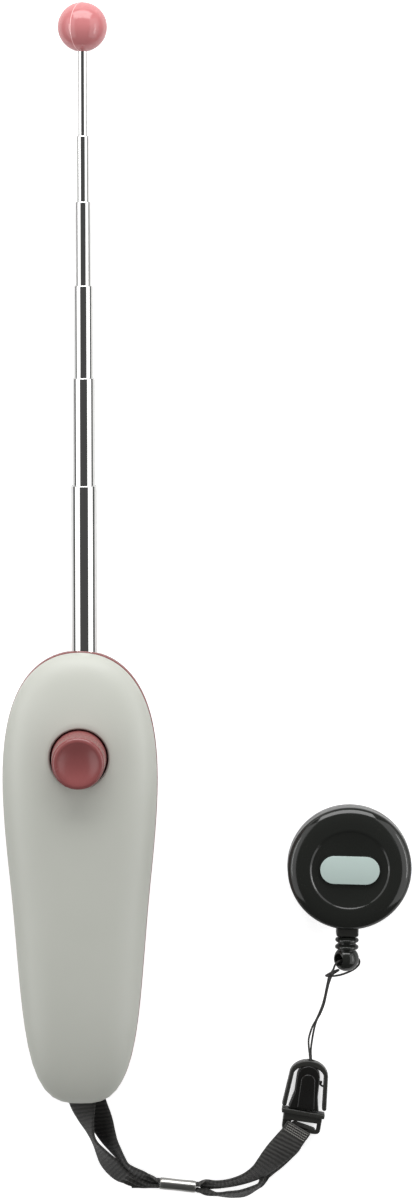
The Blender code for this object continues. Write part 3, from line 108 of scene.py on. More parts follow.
def start_chain(name, points):
    """One vertex, extruded from point to point; leaves the piece in edit mode."""
    to_object_mode()
    bpy.ops.object.select_all(action="DESELECT")
    bpy.ops.mesh.primitive_plane_add(size=MM, location=(0.0, 0.0, 0.0))
    piece = bpy.context.active_object
    piece.name = piece.data.name = name
    bpy.ops.object.mode_set(mode="EDIT")
    bpy.ops.mesh.select_mode(type="VERT")
    bpy.ops.mesh.merge(type="CENTER")
    bpy.ops.transform.translate(value=points[0])
    for here, there in zip(points, points[1:]):
        step = Vector(there) - Vector(here)
        bpy.ops.mesh.extrude_vertices_move(TRANSFORM_OT_translate={"value": step})
    return piece


def close_up(piece):
    """Weld doubles, point the faces outwards and leave edit mode."""
    bpy.ops.mesh.select_all(action="SELECT")
    bpy.ops.mesh.remove_doubles(threshold=WELD)
    bpy.ops.mesh.normals_make_consistent(inside=False)
    bpy.ops.object.mode_set(mode="OBJECT")
    return piece


# %% Turn a profile, or cut a sheet
def oval(centre, reach_u, reach_v, start, end, steps):
    """Points on an oval in a flat drawing; angles in degrees."""
    angles = [math.radians(start + (end - start) * i / steps) for i in range(steps + 1)]
    return [(centre[0] + reach_u * math.cos(angle), centre[1] + reach_v * math.sin(angle))
            for angle in angles]


def arc(centre, radius, start, end, steps):
    return oval(centre, radius, radius, start, end, steps)


def eased(points, radius, steps=4, ring=False):
    """Round the corners of a flat drawing by a radius, less where an edge is short."""
    count = len(points)
    result = []
    for i, (x, y) in enumerate(points):
        if not ring and i in (0, count - 1):
            result.append((x, y))
            continue
        here = Vector((x, y))
        before = Vector(points[i - 1]) - here
        after = Vector(points[(i + 1) % count]) - here
        reach = min(radius, before.length * 0.45, after.length * 0.45)
        start = here + before.normalized() * reach
        end = here + after.normalized() * reach
        for step in range(steps + 1):
            t = step / steps
            bend = start * (1 - t) ** 2 + here * 2 * t * (1 - t) + end * t ** 2
            result.append((bend.x, bend.y))
    return result


def turned(name, profile, at, centre, axis, steps=64):
    """Spin a drawing of (radius, height) about an axis; at() puts a point in place."""
    piece = start_chain(name, [at(radius, height) for radius, height in profile])
    bpy.ops.mesh.select_all(action="SELECT")
    bpy.ops.mesh.spin(steps=steps, angle=math.tau, center=centre, axis=axis)
    return close_up(piece)


def raised(name, corners, rise, edge=0.0, segments=2):
    """A flat outline, filled, drawn out by a step and bevelled."""
    piece = start_chain(name, corners)
    bpy.ops.mesh.select_all(action="SELECT")
    bpy.ops.mesh.edge_face_add()
    bpy.ops.mesh.select_all(action="SELECT")
    bpy.ops.mesh.extrude_region_move(TRANSFORM_OT_translate={"value": rise})
    close_up(piece)
    if edge:
        bevel_edges(piece, edge, segments)
    return piece


def bevel_edges(piece, width, segments=2, sharper_than=40):
    """Round every edge that is sharper than an angle."""
    choose(piece)
    bpy.ops.object.modifier_add(type="BEVEL")
    bevel = piece.modifiers[-1]
    bevel.width = width
    bevel.segments = segments
    bevel.limit_method = "ANGLE"
    bevel.angle_limit = math.radians(sharper_than)
    bpy.ops.object.modifier_apply(modifier=bevel.name)


def combine(piece, tool, operation, keep_materials=False):
    """Join a tool to a piece, or cut it out, and throw the tool away."""
    choose(piece)
    bpy.ops.object.modifier_add(type="BOOLEAN")
    step = piece.modifiers[-1]
    step.operation = operation
    step.solver = "EXACT"
    if keep_materials:
        step.material_mode = "TRANSFER"
    step.object = tool
    bpy.ops.object.modifier_apply(modifier=step.name)
    bpy.data.objects.remove(tool, do_unlink=True)
    return piece


def foot_corners(low, high):
    """The corners of the lower face of a box between two points, on a flat drawing."""
    return ((low[0], low[1]), (high[0], low[1]), (high[0], high[1]), (low[0], high[1]))


def block(name, low, high):
    """A box between two points."""
    corners = [(x, y, low[2]) for x, y in foot_corners(low, high)]
    return raised(name, corners, (0.0, 0.0, high[2] - low[2]))


def rod(name, radius, start, end, steps=32):
    """A round bar between two points, as a tool to join or cut."""
    start, end = Vector(start), Vector(end)
    along = (end - start).normalized()
    side = along.orthogonal().normalized()
    profile = ((0.0, 0.0), (radius, 0.0), (radius, (end - start).length),
               (0.0, (end - start).length))
    return turned(name, profile, lambda r, h: start + side * r + along * h, start, along, steps)


def uv_ball(name, radius, place, segments, ring_count, turn=(0.0, 0.0, 0.0)):
    """A ball with its place in its mesh, as a start to work on."""
    to_object_mode()
    bpy.ops.object.select_all(action="DESELECT")
    bpy.ops.mesh.primitive_uv_sphere_add(segments=segments, ring_count=ring_count,
                                         radius=radius, location=place, rotation=turn)
    piece = bpy.context.active_object
    piece.name = piece.data.name = name
    bpy.ops.object.transform_apply(location=True, rotation=True, scale=True)
    return piece


def joined(pieces):
    """Make all the pieces one object, the first."""
    choose(pieces[0])
    for piece in pieces:
        piece.select_set(True)
    bpy.ops.object.join()
    return pieces[0]


print("tools: chain, turned, raised, bevel_edges, combine, block, rod, uv_ball, joined")

# %% [markdown]
# Forms that are neither turned nor flat, such as the egg-shaped shells and the webbing, are
# skinned: rings of like-numbered points, joined one to the next. The same helper lays a UV
# map, with the first number round the ring and the second along the run, for the weaves.

# %% Skin a row of rings
def skin(name, rings, joined_up=False, lengths=None, girth=1.0):
    """Quads between rings of points; joined_up closes last to first, else both ends are capped."""
    mesh = bpy.data.meshes.new(name)
    work = bmesh.new()
    layer = work.loops.layers.uv.new("UVMap")
    rows = [[work.verts.new(point) for point in ring] for ring in rings]
    count = len(rows[0])
    pairs = list(zip(range(len(rows)), range(1, len(rows))))
    if joined_up:
        pairs.append((len(rows) - 1, 0))
    for low, high in pairs:
        for i in range(count):
            j = (i + 1) % count
            face = work.faces.new((rows[low][i], rows[low][j], rows[high][j], rows[high][i]))
            if lengths:
                corners = ((i, low), (i + 1, low), (i + 1, high), (i, high))
                for loop, (around, along) in zip(face.loops, corners):
                    loop[layer].uv = (girth * around / count, lengths[along])
    if not joined_up:
        work.faces.new(rows[0])
        work.faces.new(list(reversed(rows[-1])))
    bmesh.ops.recalc_face_normals(work, faces=work.faces)
    work.to_mesh(mesh)
    work.free()
    piece = bpy.data.objects.new(name, mesh)
    bpy.context.scene.collection.objects.link(piece)
    return piece


def finish_piece(piece, material, slot, body, *nodes, smooth=35):
    """Smooth shading, finish, body, and the CAD nodes it stands for; the slot argument is not used.

    A piece that already wears two finishes keeps them. What crosses a joint names two
    bodies, and the two places between which it goes over from the first to the second; such a
    piece is only baked in place, and the two places are not used.
    """
    choose(piece)
    bpy.ops.object.shade_smooth_by_angle(angle=math.radians(smooth))
    if len(piece.data.materials) < 2:
        piece.data.materials.clear()
        piece.data.materials.append(material)
    if isinstance(body, str):
        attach(piece, body)
    else:
        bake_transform(piece)
    if nodes:
        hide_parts(*nodes)
        piece.name = piece.data.name = f"{nodes[0]}_dressed"
    triangles = sum(len(face.vertices) - 2 for face in piece.data.polygons)
    print(f"{piece.name}: {triangles} triangles on {body if isinstance(body, str) else body[:2]}")
    return piece


# %% [markdown]
# ## Finishes
#
# Each finish is one Principled BSDF with a few procedural textures. What several finishes
# share is a node group with named sockets: the fine grain that a mould leaves in plastic,
# and the faint marks that hands leave on anything smooth.

# %% Node helpers
def add_node(tree, kind, inputs=None, **settings):
    """Add a node; an input is a plain value or another node's output."""
    node = tree.nodes.new(kind)
    for key, value in settings.items():
        setattr(node, key, value)
    for key, value in (inputs or {}).items():
        socket = node.inputs[key]
        if isinstance(value, bpy.types.NodeSocket):
            tree.links.new(value, socket)
        else:
            socket.default_value = value
    return node


def new_group(name, sockets_in, sockets_out):
    """A shader node group with float or vector sockets."""
    tree = bpy.data.node_groups.new(name, "ShaderNodeTree")
    for label, kind, value in sockets_in:
        socket = tree.interface.new_socket(label, in_out="INPUT", socket_type=kind)
        if value is not None:
            socket.default_value = value
    for label, kind in sockets_out:
        tree.interface.new_socket(label, in_out="OUTPUT", socket_type=kind)
    return tree, tree.nodes.new("NodeGroupInput"), tree.nodes.new("NodeGroupOutput")


def calc(tree, operation, *values):
    """The result of a Math node."""
    return add_node(tree, "ShaderNodeMath", dict(enumerate(values)), operation=operation).outputs[0]


def times(tree, a, b):
    return calc(tree, "MULTIPLY", a, b)


def plus(tree, a, b):
    return calc(tree, "ADD", a, b)


def vector_calc(tree, operation, a, b):
    return add_node(tree, "ShaderNodeVectorMath", {0: a, 1: b}, operation=operation)


def noise(tree, place, scale, detail, **more):
    """Noise from 0 to 1; more can give its Roughness and Distortion."""
    inputs = {"Vector": place, "Scale": scale, "Detail": detail, **more}
    return add_node(tree, "ShaderNodeTexNoise", inputs).outputs[0]


def ranged(tree, value, low, high, start=0.0, end=1.0):
    """What runs from start to end, made to run from low to high."""
    inputs = {"Value": value, "From Min": start, "From Max": end, "To Min": low, "To Max": high}
    return add_node(tree, "ShaderNodeMapRange", inputs).outputs[0]


def mix_colours(tree, factor, low, high):
    """A mix of two colours, each three numbers or another node's output."""
    low, high = (colour if isinstance(colour, bpy.types.NodeSocket) else (*colour, 1.0)
                 for colour in (low, high))
    return add_node(tree, "ShaderNodeMix", {0: factor, 6: low, 7: high},
                    data_type="RGBA").outputs[2]


def object_place(tree):
    return add_node(tree, "ShaderNodeTexCoord").outputs["Object"]


def start_material(name):
    material = bpy.data.materials.new(name)
    material.use_nodes = True
    tree = material.node_tree
    return material, tree, tree.nodes["Principled BSDF"]


def wire(tree, shader, colour, rough, height, strength, depth):
    """Give a shader its colour and its roughness, and a height as its bump."""
    bump = add_node(tree, "ShaderNodeBump",
                    {"Strength": strength, "Distance": depth, "Height": height}).outputs[0]
    for label, socket in (("Base Color", colour), ("Roughness", rough), ("Normal", bump)):
        tree.links.new(socket, shader.inputs[label])


FLOAT, VECTOR = "NodeSocketFloat", "NodeSocketVector"

# %% Group: fine grain of a mould
MOTTLE_SCALE = 38.0
grain_tree, grain_in, grain_out = new_group(
    "mould_grain",
    (("Vector", VECTOR, None), ("Size", FLOAT, 0.3), ("Mottle", FLOAT, 0.5)),
    (("Height", FLOAT), ("Mottle", FLOAT)))
per_metre = calc(grain_tree, "DIVIDE", 1000.0, grain_in.outputs["Size"])
fine = noise(grain_tree, grain_in.outputs["Vector"], per_metre, 2.0, Roughness=0.6)
slow = noise(grain_tree, grain_in.outputs["Vector"], MOTTLE_SCALE, 3.0)
slow_part = times(grain_tree, slow, grain_in.outputs["Mottle"])
grain_tree.links.new(fine, grain_out.inputs["Height"])
grain_tree.links.new(slow_part, grain_out.inputs["Mottle"])

# %% Group: faint marks of handling
MARKS_BEGIN, MARKS_FULL = 0.48, 0.72
marks_tree, marks_in, marks_out = new_group(
    "handling_marks",
    (("Vector", VECTOR, None), ("Stretch", VECTOR, (1.0, 1.0, 1.0)), ("Scale", FLOAT, 60.0)),
    (("Marks", FLOAT),))
stretched = vector_calc(marks_tree, "MULTIPLY", marks_in.outputs["Vector"],
                        marks_in.outputs["Stretch"]).outputs[0]
smear = noise(marks_tree, stretched, marks_in.outputs["Scale"], 5.0, Roughness=0.65,
              Distortion=0.6)
kept = ranged(marks_tree, smear, 0.0, 1.0, MARKS_BEGIN, MARKS_FULL)
marks_tree.links.new(kept, marks_out.inputs["Marks"])
print("groups: mould_grain, handling_marks")

# %% [markdown]
# Plastics differ only in colour, gloss and grain, so one recipe serves them all. The colour
# is mixed between a lighter and a darker tone by the slow mottle, roughness follows the
# marks of handling, and the fine grain goes to a bump.

# %% Recipe for moulded plastic
def moulded(name, dark, light, gloss, marked, grain_size, grain_depth):
    """Moulded plastic: two tones, a roughness range and a grain, its size in millimetres."""
    material, tree, shader = start_material(name)
    place = object_place(tree)
    grain = add_node(tree, "ShaderNodeGroup",
                     {"Vector": place, "Size": grain_size, "Mottle": 1.0}, node_tree=grain_tree)
    marks = add_node(tree, "ShaderNodeGroup", {"Vector": place}, node_tree=marks_tree)
    colour = mix_colours(tree, grain.outputs["Mottle"], dark, light)
    rough = ranged(tree, marks.outputs["Marks"], gloss, marked)
    wire(tree, shader, colour, rough, grain.outputs["Height"], 0.5, grain_depth)
    return material


GREY_SHELL = moulded("grey_shell", (0.425, 0.436, 0.392), (0.464, 0.472, 0.431), 0.42, 0.50,
                     0.35, 0.02 * MM)
ROSE = moulded("rose_plastic", (0.465, 0.160, 0.165), (0.515, 0.188, 0.192), 0.13, 0.20,
               0.5, 0.008 * MM)
# A darker copy of the rose plastic: the button's own deeper tone, and on the back shell painted
# shade for the dark line along its rim.
DEEP_ROSE_AND_SHADE = moulded("deep_rose_and_shade", (0.195, 0.056, 0.056), (0.225, 0.067, 0.066), 0.22, 0.32,
                    0.5, 0.01 * MM)
BLACK_GLOSS = moulded("black_gloss", (0.010, 0.011, 0.010), (0.016, 0.017, 0.015), 0.10, 0.20,
                      1.2, 0.006 * MM)
BLACK_SATIN = moulded("black_satin", (0.017, 0.017, 0.0155), (0.026, 0.026, 0.0235), 0.22, 0.32,
                      0.22, 0.03 * MM)
SLEEVE_BLACK = moulded("sleeve_black", (0.0045, 0.0044, 0.004), (0.0075, 0.0072, 0.0065),
                       0.24, 0.34, 0.3, 0.01 * MM)
WHITE_PLASTIC = moulded("white_plastic", (0.74, 0.74, 0.70), (0.80, 0.80, 0.77), 0.35, 0.45,
                        0.4, 0.01 * MM)
PALE_PLATE = moulded("pale_plate", (0.395, 0.480, 0.455), (0.430, 0.520, 0.492), 0.32, 0.40,
                     0.18, 0.008 * MM)
print("plastics: grey shell, two roses, black gloss, black satin, sleeve, white, pale plate")

# %% [markdown]
# Metal is drawn and polished along one way, so its marks are stretched that way: along the
# tubes for the mast, across the height for the other pieces. The colour hardly changes; it
# is the roughness that makes chrome look handled.

# %% Recipe for metal
METAL_MARKS = 160.0
DRAWN_LINES = 2600.0


def metal(name, dark, light, polish, marked, stretch, line_depth):
    """Metal with fine drawn lines, stretched marks and a slight change of tone."""
    material, tree, shader = start_material(name)
    place = object_place(tree)
    marks = add_node(tree, "ShaderNodeGroup",
                     {"Vector": place, "Stretch": stretch, "Scale": METAL_MARKS},
                     node_tree=marks_tree).outputs["Marks"]
    lines = vector_calc(tree, "MULTIPLY", place, stretch).outputs[0]
    colour = mix_colours(tree, marks, light, dark)
    rough = ranged(tree, marks, polish, marked)
    wire(tree, shader, colour, rough, noise(tree, lines, DRAWN_LINES, 1.0), 0.4, line_depth)
    shader.inputs["Metallic"].default_value = 1.0
    return material


ALONG_MAST = (1.0, 0.04, 1.0)
ALL_ROUND = (1.0, 1.0, 0.2)
CHROME = metal("chrome", (0.80, 0.80, 0.79), (0.90, 0.90, 0.89), 0.035, 0.10, ALONG_MAST,
               0.0008 * MM)
STEEL = metal("steel", (0.50, 0.50, 0.48), (0.62, 0.62, 0.60), 0.16, 0.28, ALL_ROUND,
              0.002 * MM)
CRIMP_STEEL = metal("crimp_steel", (0.38, 0.38, 0.365), (0.46, 0.46, 0.44), 0.30, 0.40, ALL_ROUND,
                    0.002 * MM)
BRASS = metal("brass", (0.58, 0.42, 0.16), (0.72, 0.54, 0.24), 0.22, 0.34, ALL_ROUND,
              0.002 * MM)
print("metals: chrome, steel, crimp steel, brass")

# %% [markdown]
# The webbing is narrow woven nylon. Its weft makes close ribs across the strap, and the warp
# crosses them in fine threads. The pattern follows the strap's own UV map, which is laid out
# in millimetres, so the ribs stay square to the strap where it twists. A slow noise makes
# the ribs wander a little. The grooves between the ribs are painted darker than their tops,
# as painted shade, and a fine noise adds uneven wear. The cord's braid is two sets of strands
# that wind opposite ways, on a UV map of turns round and millimetres along, and the hollows
# between its strands are painted darker than their crowns, as painted shade.

# %% Recipe for woven webbing
RIB_PITCH = 1.15
WARP_PITCH = 0.42
RIB_WANDER = 0.5
THREAD_HEIGHT = 0.35


def wave(tree, value, pitch):
    """A wave from 0 to 1 with that pitch, in the value's own unit."""
    swing = calc(tree, "SINE", times(tree, value, math.tau / pitch))
    return calc(tree, "MULTIPLY_ADD", swing, 0.5, 0.5)


def own_uv(tree):
    """The piece's own UV map, whole and as its two numbers."""
    uv = add_node(tree, "ShaderNodeUVMap", uv_map="UVMap").outputs[0]
    parts = add_node(tree, "ShaderNodeSeparateXYZ", {0: uv})
    return uv, parts.outputs[0], parts.outputs[1]


def woven_webbing():
    material, tree, shader = start_material("black_webbing")
    uv, across, along = own_uv(tree)
    wobble = noise(tree, uv, 0.9, 2.0)
    ribs = wave(tree, plus(tree, along, times(tree, wobble, RIB_WANDER)), RIB_PITCH)
    threads = wave(tree, plus(tree, across, times(tree, along, 0.5)), WARP_PITCH)
    fuzz = noise(tree, uv, 9.0, 4.0)
    # Painted shade: the colour follows the ribs' height, darker in the grooves between them; the
    # fine noise adds uneven wear.
    rib_shade_and_wear = times(tree, plus(tree, ribs, times(tree, fuzz, 0.6)), 0.62)
    colour = mix_colours(tree, rib_shade_and_wear, (0.0045, 0.0043, 0.0038), (0.036, 0.035, 0.032))
    height = plus(tree, ribs, times(tree, threads, THREAD_HEIGHT))
    wire(tree, shader, colour, ranged(tree, fuzz, 0.62, 0.82), height, 0.9, 0.16 * MM)
    shader.inputs["Sheen Weight"].default_value = 0.25
    shader.inputs["Sheen Roughness"].default_value = 0.4
    return material


# %% Recipe for braided cord and thread
def braided(name, dark, light, pitch, depth):
    """Cord from helical strands, their pitch in millimetres."""
    material, tree, shader = start_material(name)
    uv, around, along = own_uv(tree)
    strands = times(tree, around, 3.0 * pitch)
    right = wave(tree, plus(tree, along, strands), pitch)
    left = wave(tree, plus(tree, along, times(tree, strands, -1.0)), pitch)
    height = calc(tree, "MAXIMUM", right, left)
    rough = ranged(tree, noise(tree, uv, 12.0, 3.0), 0.45, 0.65)
    # Painted shade: the colour follows the strands' height, darker in the hollows between them.
    wire(tree, shader, mix_colours(tree, height, dark, light), rough, height, 0.8, depth)
    return material


BLACK_WEBBING = woven_webbing()
BLACK_CORD = braided("black_cord", (0.007, 0.007, 0.006), (0.030, 0.029, 0.027), 0.8, 0.05 * MM)
GREY_THREAD = braided("grey_thread", (0.12, 0.117, 0.108), (0.30, 0.293, 0.275), 0.6, 0.03 * MM)
print("textiles: webbing, cord, stitching thread")

# %% [markdown]
# ## The strap
#
# One loop of 8 mm webbing goes round the pin in the handle and the buckle's bar, where it
# is sewn, and a steel crimp gathers its two layers half way. Each layer is a flat cord: a row of
# stations, most of them given by the strip's two edges, read off the photograph. A smooth
# curve runs through the stations, and the strip folds in pleats where it is gathered. Both
# layers come before everything else, with the thin cord, because they settle the outline.

# %% Places that the webbing goes to
PIN_PLACE = Vector((0.0, -54.5, 7.2)) * MM
PIN_REACH = (2.0 * MM, 2.0 * MM)
WEBBING_WIDTH = 8.0 * MM
WEBBING_THICKNESS = 0.9 * MM
GATHERED_THICKNESS = 0.5 * MM
GATHERED_WIDTH = 1.8 * MM
CRIMP_ENDS = (Vector((21.2, -87.0, 2.2)) * MM, Vector((31.0, -88.05, 2.2)) * MM)
MOUTH_WIDTH = 2.7 * MM
MOUTH_OUTSIDE = 0.35 * MM
MOUTH_INSIDE = 0.7 * MM
MOUTH_ASIDE = 0.75 * MM
GATHERED_ASIDE = 0.42 * MM
BUCKLE_PLACE = Vector((60.45, -67.15, 2.4)) * MM
BUCKLE_TURN = math.radians(-8.0)
BAR_PLACE = -4.9 * MM
BAR_REACH = (1.45 * MM, 1.4 * MM)


def buckle_point(u, v, z=0.0):
    """A place in the buckle's own frame; v runs towards the cord."""
    return BUCKLE_PLACE + Matrix.Rotation(BUCKLE_TURN, 3, "Z") @ Vector((u, v, z))


def wrap(centre, along, across, reach, side, angles, width):
    """Stations round a pin or bar, over it for side +1 and under it for side -1.

    The loop reaches further along the strap than it is high, because it lies slack.
    """
    stations = []
    for angle in angles:
        turn = math.radians(angle)
        place = centre + along * reach[0] * math.cos(turn)
        place += Vector((0.0, 0.0, side * reach[1] * math.sin(turn)))
        stations.append((place, across, width))
    return stations


def through_crimp(side):
    """One layer through the crimp, beside the other: bulky at the mouths, thin inside."""
    start, end = CRIMP_ENDS
    along = (end - start).normalized()
    aside = Vector((-along.y, along.x, 0.0)) * side
    stations = []
    for place, offset, width in (
            (start - along * MOUTH_OUTSIDE, MOUTH_ASIDE, MOUTH_WIDTH),
            (start + along * MOUTH_INSIDE, GATHERED_ASIDE, GATHERED_WIDTH),
            (end - along * MOUTH_INSIDE, GATHERED_ASIDE, GATHERED_WIDTH),
            (end + along * MOUTH_OUTSIDE, MOUTH_ASIDE, MOUTH_WIDTH)):
        stations.append((place + aside * offset, Vector((0.0, 0.0, 1.0)), width))
    return stations


def between_edges(rows):
    """Stations from the strip's two edges: left x, y, z, then right x, y, z."""
    stations = []
    for row in rows:
        left, right = Vector(row[:3]) * MM, Vector(row[3:]) * MM
        stations.append(((left + right) / 2, (right - left).normalized(), (right - left).length))
    return stations


# %% Stations of the two layers
X_WAY = Vector((1.0, 0.0, 0.0))
Y_WAY = Vector((0.0, 1.0, 0.0))
PIN_ANGLES = (9, 40, 70, 100, 125)
FOLD_WIDTH = 6.3 * MM
BAR_TURNS = ((120, -20, -0.6), (90, -16, -0.2), (60, -14, 0.1), (30, -12, 0.35), (0, -12, 0.45),
             (-25, -12, 0.45))


def pin_turn(side, shift):
    return wrap(PIN_PLACE + X_WAY * shift, Y_WAY, X_WAY, PIN_REACH, side, PIN_ANGLES,
                WEBBING_WIDTH)


def bar_turn():
    """The turn of the lower layer under the buckle's bar and up, which it takes askew."""
    stations = []
    for angle, turn, aside in BAR_TURNS:
        turn = math.radians(turn)
        across = buckle_point(math.cos(turn), math.sin(turn)) - BUCKLE_PLACE
        along = buckle_point(-math.sin(turn), math.cos(turn)) - BUCKLE_PLACE
        centre = buckle_point(0.0, BAR_PLACE) + across * aside * MM
        stations += wrap(centre, along, across, BAR_REACH, -1, (angle,), FOLD_WIDTH)
    return stations


outer_stations = pin_turn(1, 0.4 * MM)
outer_stations += between_edges((
    (-3.7, -57.5, 8.8, 4.3, -57.5, 8.8), (-3.8, -60.6, 8.0, 4.0, -60.2, 8.6),
    (-3.4, -63.5, 6.6, 3.7, -62.8, 8.6), (-1.2, -68.5, 4.2, 3.4, -66.4, 9.6),
    (1.2, -72.2, 2.8, 3.2, -70.6, 9.8), (2.9, -75.5, 2.0, 3.8, -73.3, 9.4),
    (3.9, -78.7, 1.7, 5.7, -75.5, 8.8), (4.9, -81.6, 1.7, 7.8, -77.5, 8.1),
    (6.6, -84.0, 1.8, 9.9, -79.4, 7.4), (8.9, -86.0, 2.0, 11.9, -82.2, 5.9),
    (11.3, -87.1, 2.0, 14.0, -84.5, 4.8), (13.7, -87.7, 1.9, 16.3, -86.0, 4.2),
    (17.2, -88.2, 1.7, 18.5, -87.1, 3.8)))
outer_stations += through_crimp(-1)
outer_stations += between_edges((
    (33.6, -90.0, 0.9, 33.6, -88.5, 4.4), (36.6, -90.6, 0.9, 36.6, -88.9, 6.0),
    (39.5, -91.1, 0.9, 40.0, -88.2, 7.2), (42.3, -91.2, 0.9, 43.0, -87.9, 7.0),
    (44.8, -90.8, 0.9, 46.2, -87.1, 6.2), (47.3, -89.3, 0.9, 48.7, -86.1, 5.2),
    (49.6, -87.4, 0.8, 49.3, -84.6, 3.4), (52.2, -85.1, 0.8, 48.6, -82.2, 2.0),
    (55.0, -82.7, 0.8, 50.0, -79.2, 1.6), (57.5, -80.3, 0.8, 51.9, -76.5, 1.2),
    (59.6, -78.0, 0.8, 53.7, -73.9, 0.9)))
outer_stations += bar_turn()

inner_stations = pin_turn(-1, 1.0 * MM)
inner_stations += between_edges((
    (-2.8, -57.5, 5.5, 5.2, -57.5, 5.5), (-1.9, -60.6, 5.0, 5.9, -60.2, 5.8),
    (-0.7, -63.8, 4.4, 6.6, -62.8, 6.2), (1.0, -68.6, 3.0, 8.2, -67.5, 6.4),
    (3.6, -73.0, 2.4, 9.0, -71.1, 7.2), (5.5, -75.6, 2.3, 9.7, -73.7, 8.2),
    (7.6, -77.9, 2.3, 10.6, -75.9, 8.6), (9.6, -80.1, 2.4, 11.6, -78.3, 8.6),
    (10.9, -82.9, 2.4, 12.7, -80.3, 7.8), (12.9, -85.4, 2.2, 14.9, -81.8, 6.6),
    (15.8, -86.7, 1.8, 17.6, -83.3, 5.2), (18.5, -87.2, 1.5, 19.4, -84.7, 4.2)))
inner_stations += through_crimp(1)
inner_stations += between_edges((
    (33.6, -88.7, 1.4, 33.6, -85.5, 4.6), (36.6, -88.5, 1.7, 36.6, -85.4, 6.2),
    (40.0, -88.0, 2.0, 39.2, -84.8, 7.8), (43.0, -87.4, 2.2, 42.0, -83.8, 8.6),
    (46.4, -86.4, 2.4, 44.4, -82.6, 8.6), (49.8, -85.0, 2.6, 46.5, -81.0, 8.0),
    (52.7, -83.0, 2.8, 48.0, -79.0, 7.4), (55.4, -80.9, 3.2, 49.6, -76.8, 6.4),
    (58.3, -78.6, 3.6, 51.4, -74.7, 5.2), (59.9, -76.5, 3.8, 53.1, -72.9, 4.5),
    (60.9, -75.0, 3.85, 54.8, -71.1, 3.95), (61.7, -73.9, 3.85, 55.5, -70.1, 3.9),
    (62.4, -72.9, 3.85, 56.2, -69.1, 3.9)))
print(f"stations: {len(outer_stations)} outer, {len(inner_stations)} inner")

# %% A smooth strip through the stations
STRIP_STEPS = 6
HALF_RING = 26
PLEATS = 2.5
PLEAT_DEPTH = 0.45 * MM
PLEATS_FROM = 0.35


def between(a, b, c, d, t):
    """A smooth curve from b to c that also heeds its neighbours a and d."""
    return 0.5 * (b * 2 + (c - a) * t + (a * 2 - b * 5 + c * 4 - d) * t ** 2
                  + (b * 3 - a - c * 3 + d) * t ** 3)


def smooth_row(values, steps):
    """The smooth curve through vectors or numbers, that many steps between each two."""
    padded = [values[0] * 2 - values[1], *values, values[-1] * 2 - values[-2]]
    row = []
    for a, b, c, d in zip(padded, padded[1:], padded[2:], padded[3:]):
        row += [between(a, b, c, d, i / steps) for i in range(steps)]
    return row + [values[-1]]


def strip_ring(place, along, across, width, thickness, pleat):
    """A flat strip's section: a soft-edged slot shape, folded in pleats where gathered."""
    along = along.normalized()
    across = across.normalized()
    up = along.cross(across).normalized()
    top, foot = [], []
    for i in range(HALF_RING + 1):
        side = -1 + 2 * i / HALF_RING
        edge = max(0.0, 1 - abs(side) ** 8) ** 0.5
        swell = thickness / 2 * (0.35 + 0.65 * edge)
        middle = place + across * side * width / 2 + up * pleat * math.sin(side * PLEATS * math.pi)
        top.append(middle + up * swell)
        foot.append(middle - up * swell)
    return foot + list(reversed(top))


def webbing_layer(name, stations):
    centres = smooth_row([place for place, _, _ in stations], STRIP_STEPS)
    acrosses = smooth_row([across for _, across, _ in stations], STRIP_STEPS)
    widths = smooth_row([width for _, _, width in stations], STRIP_STEPS)
    last = len(centres) - 1
    rings, lengths, run = [], [], 0.0
    for i, (place, across, width) in enumerate(zip(centres, acrosses, widths)):
        along = centres[min(i + 1, last)] - centres[max(i - 1, 0)]
        gathered = min(1.0, max(0.0, (WEBBING_WIDTH - width) / (WEBBING_WIDTH - GATHERED_WIDTH)))
        thickness = WEBBING_THICKNESS + (GATHERED_THICKNESS - WEBBING_THICKNESS) * gathered ** 3
        if i:
            run += (place - centres[i - 1]).length
        lengths.append(run / MM)
        tight = max(0.0, gathered - PLEATS_FROM) / (1 - PLEATS_FROM)
        pleat = PLEAT_DEPTH * math.sin(math.pi * tight) ** 2
        rings.append(strip_ring(place, along, across, max(width, GATHERED_WIDTH), thickness, pleat))
    around = 2 * (WEBBING_WIDTH + WEBBING_THICKNESS) / MM
    layer = skin(name, rings, lengths=lengths, girth=around)
    print(f"{name}: {run / MM:.0f} mm long")
    return layer, centres, run, rings


outer_layer, outer_path, outer_length, _ = webbing_layer("strap_outer_run", outer_stations)
inner_layer, inner_path, inner_length, inner_rings = webbing_layer("strap_inner_run",
                                                                   inner_stations)

# %% The free end that the crimp holds as well
end_stations = between_edges((
    (13.4, -88.8, 0.7, 13.5, -86.9, 0.7), (16.5, -88.7, 0.7, 16.8, -87.0, 0.8),
    (19.0, -88.5, 0.8, 19.2, -87.3, 1.0), (20.9, -88.2, 1.0, 20.9, -87.4, 1.1)))
strap_end, _, _, _ = webbing_layer("strap_end", end_stations)
joined([outer_layer, strap_end])
BUCKLE_BEND = ("strap", "plug", (0.05379, -0.07799, 0.0024), (0.05627, -0.07485, 0.0024))
for layer, node in ((outer_layer, "strap_outer_run"), (inner_layer, "strap_inner_run")):
    finish_piece(layer, BLACK_WEBBING, "black_webbing", BUCKLE_BEND, node, smooth=50)

# %% [markdown]
# ## The thin cord
#
# A braided cord of just over half a millimetre comes out of the buckle's arch, goes through
# the stopper's ball, passes round itself and comes back. Both its ends are knotted inside
# the arch. The route is the one that the photograph shows, point by point, and the cord is
# skinned round it with a UV map for its braid.

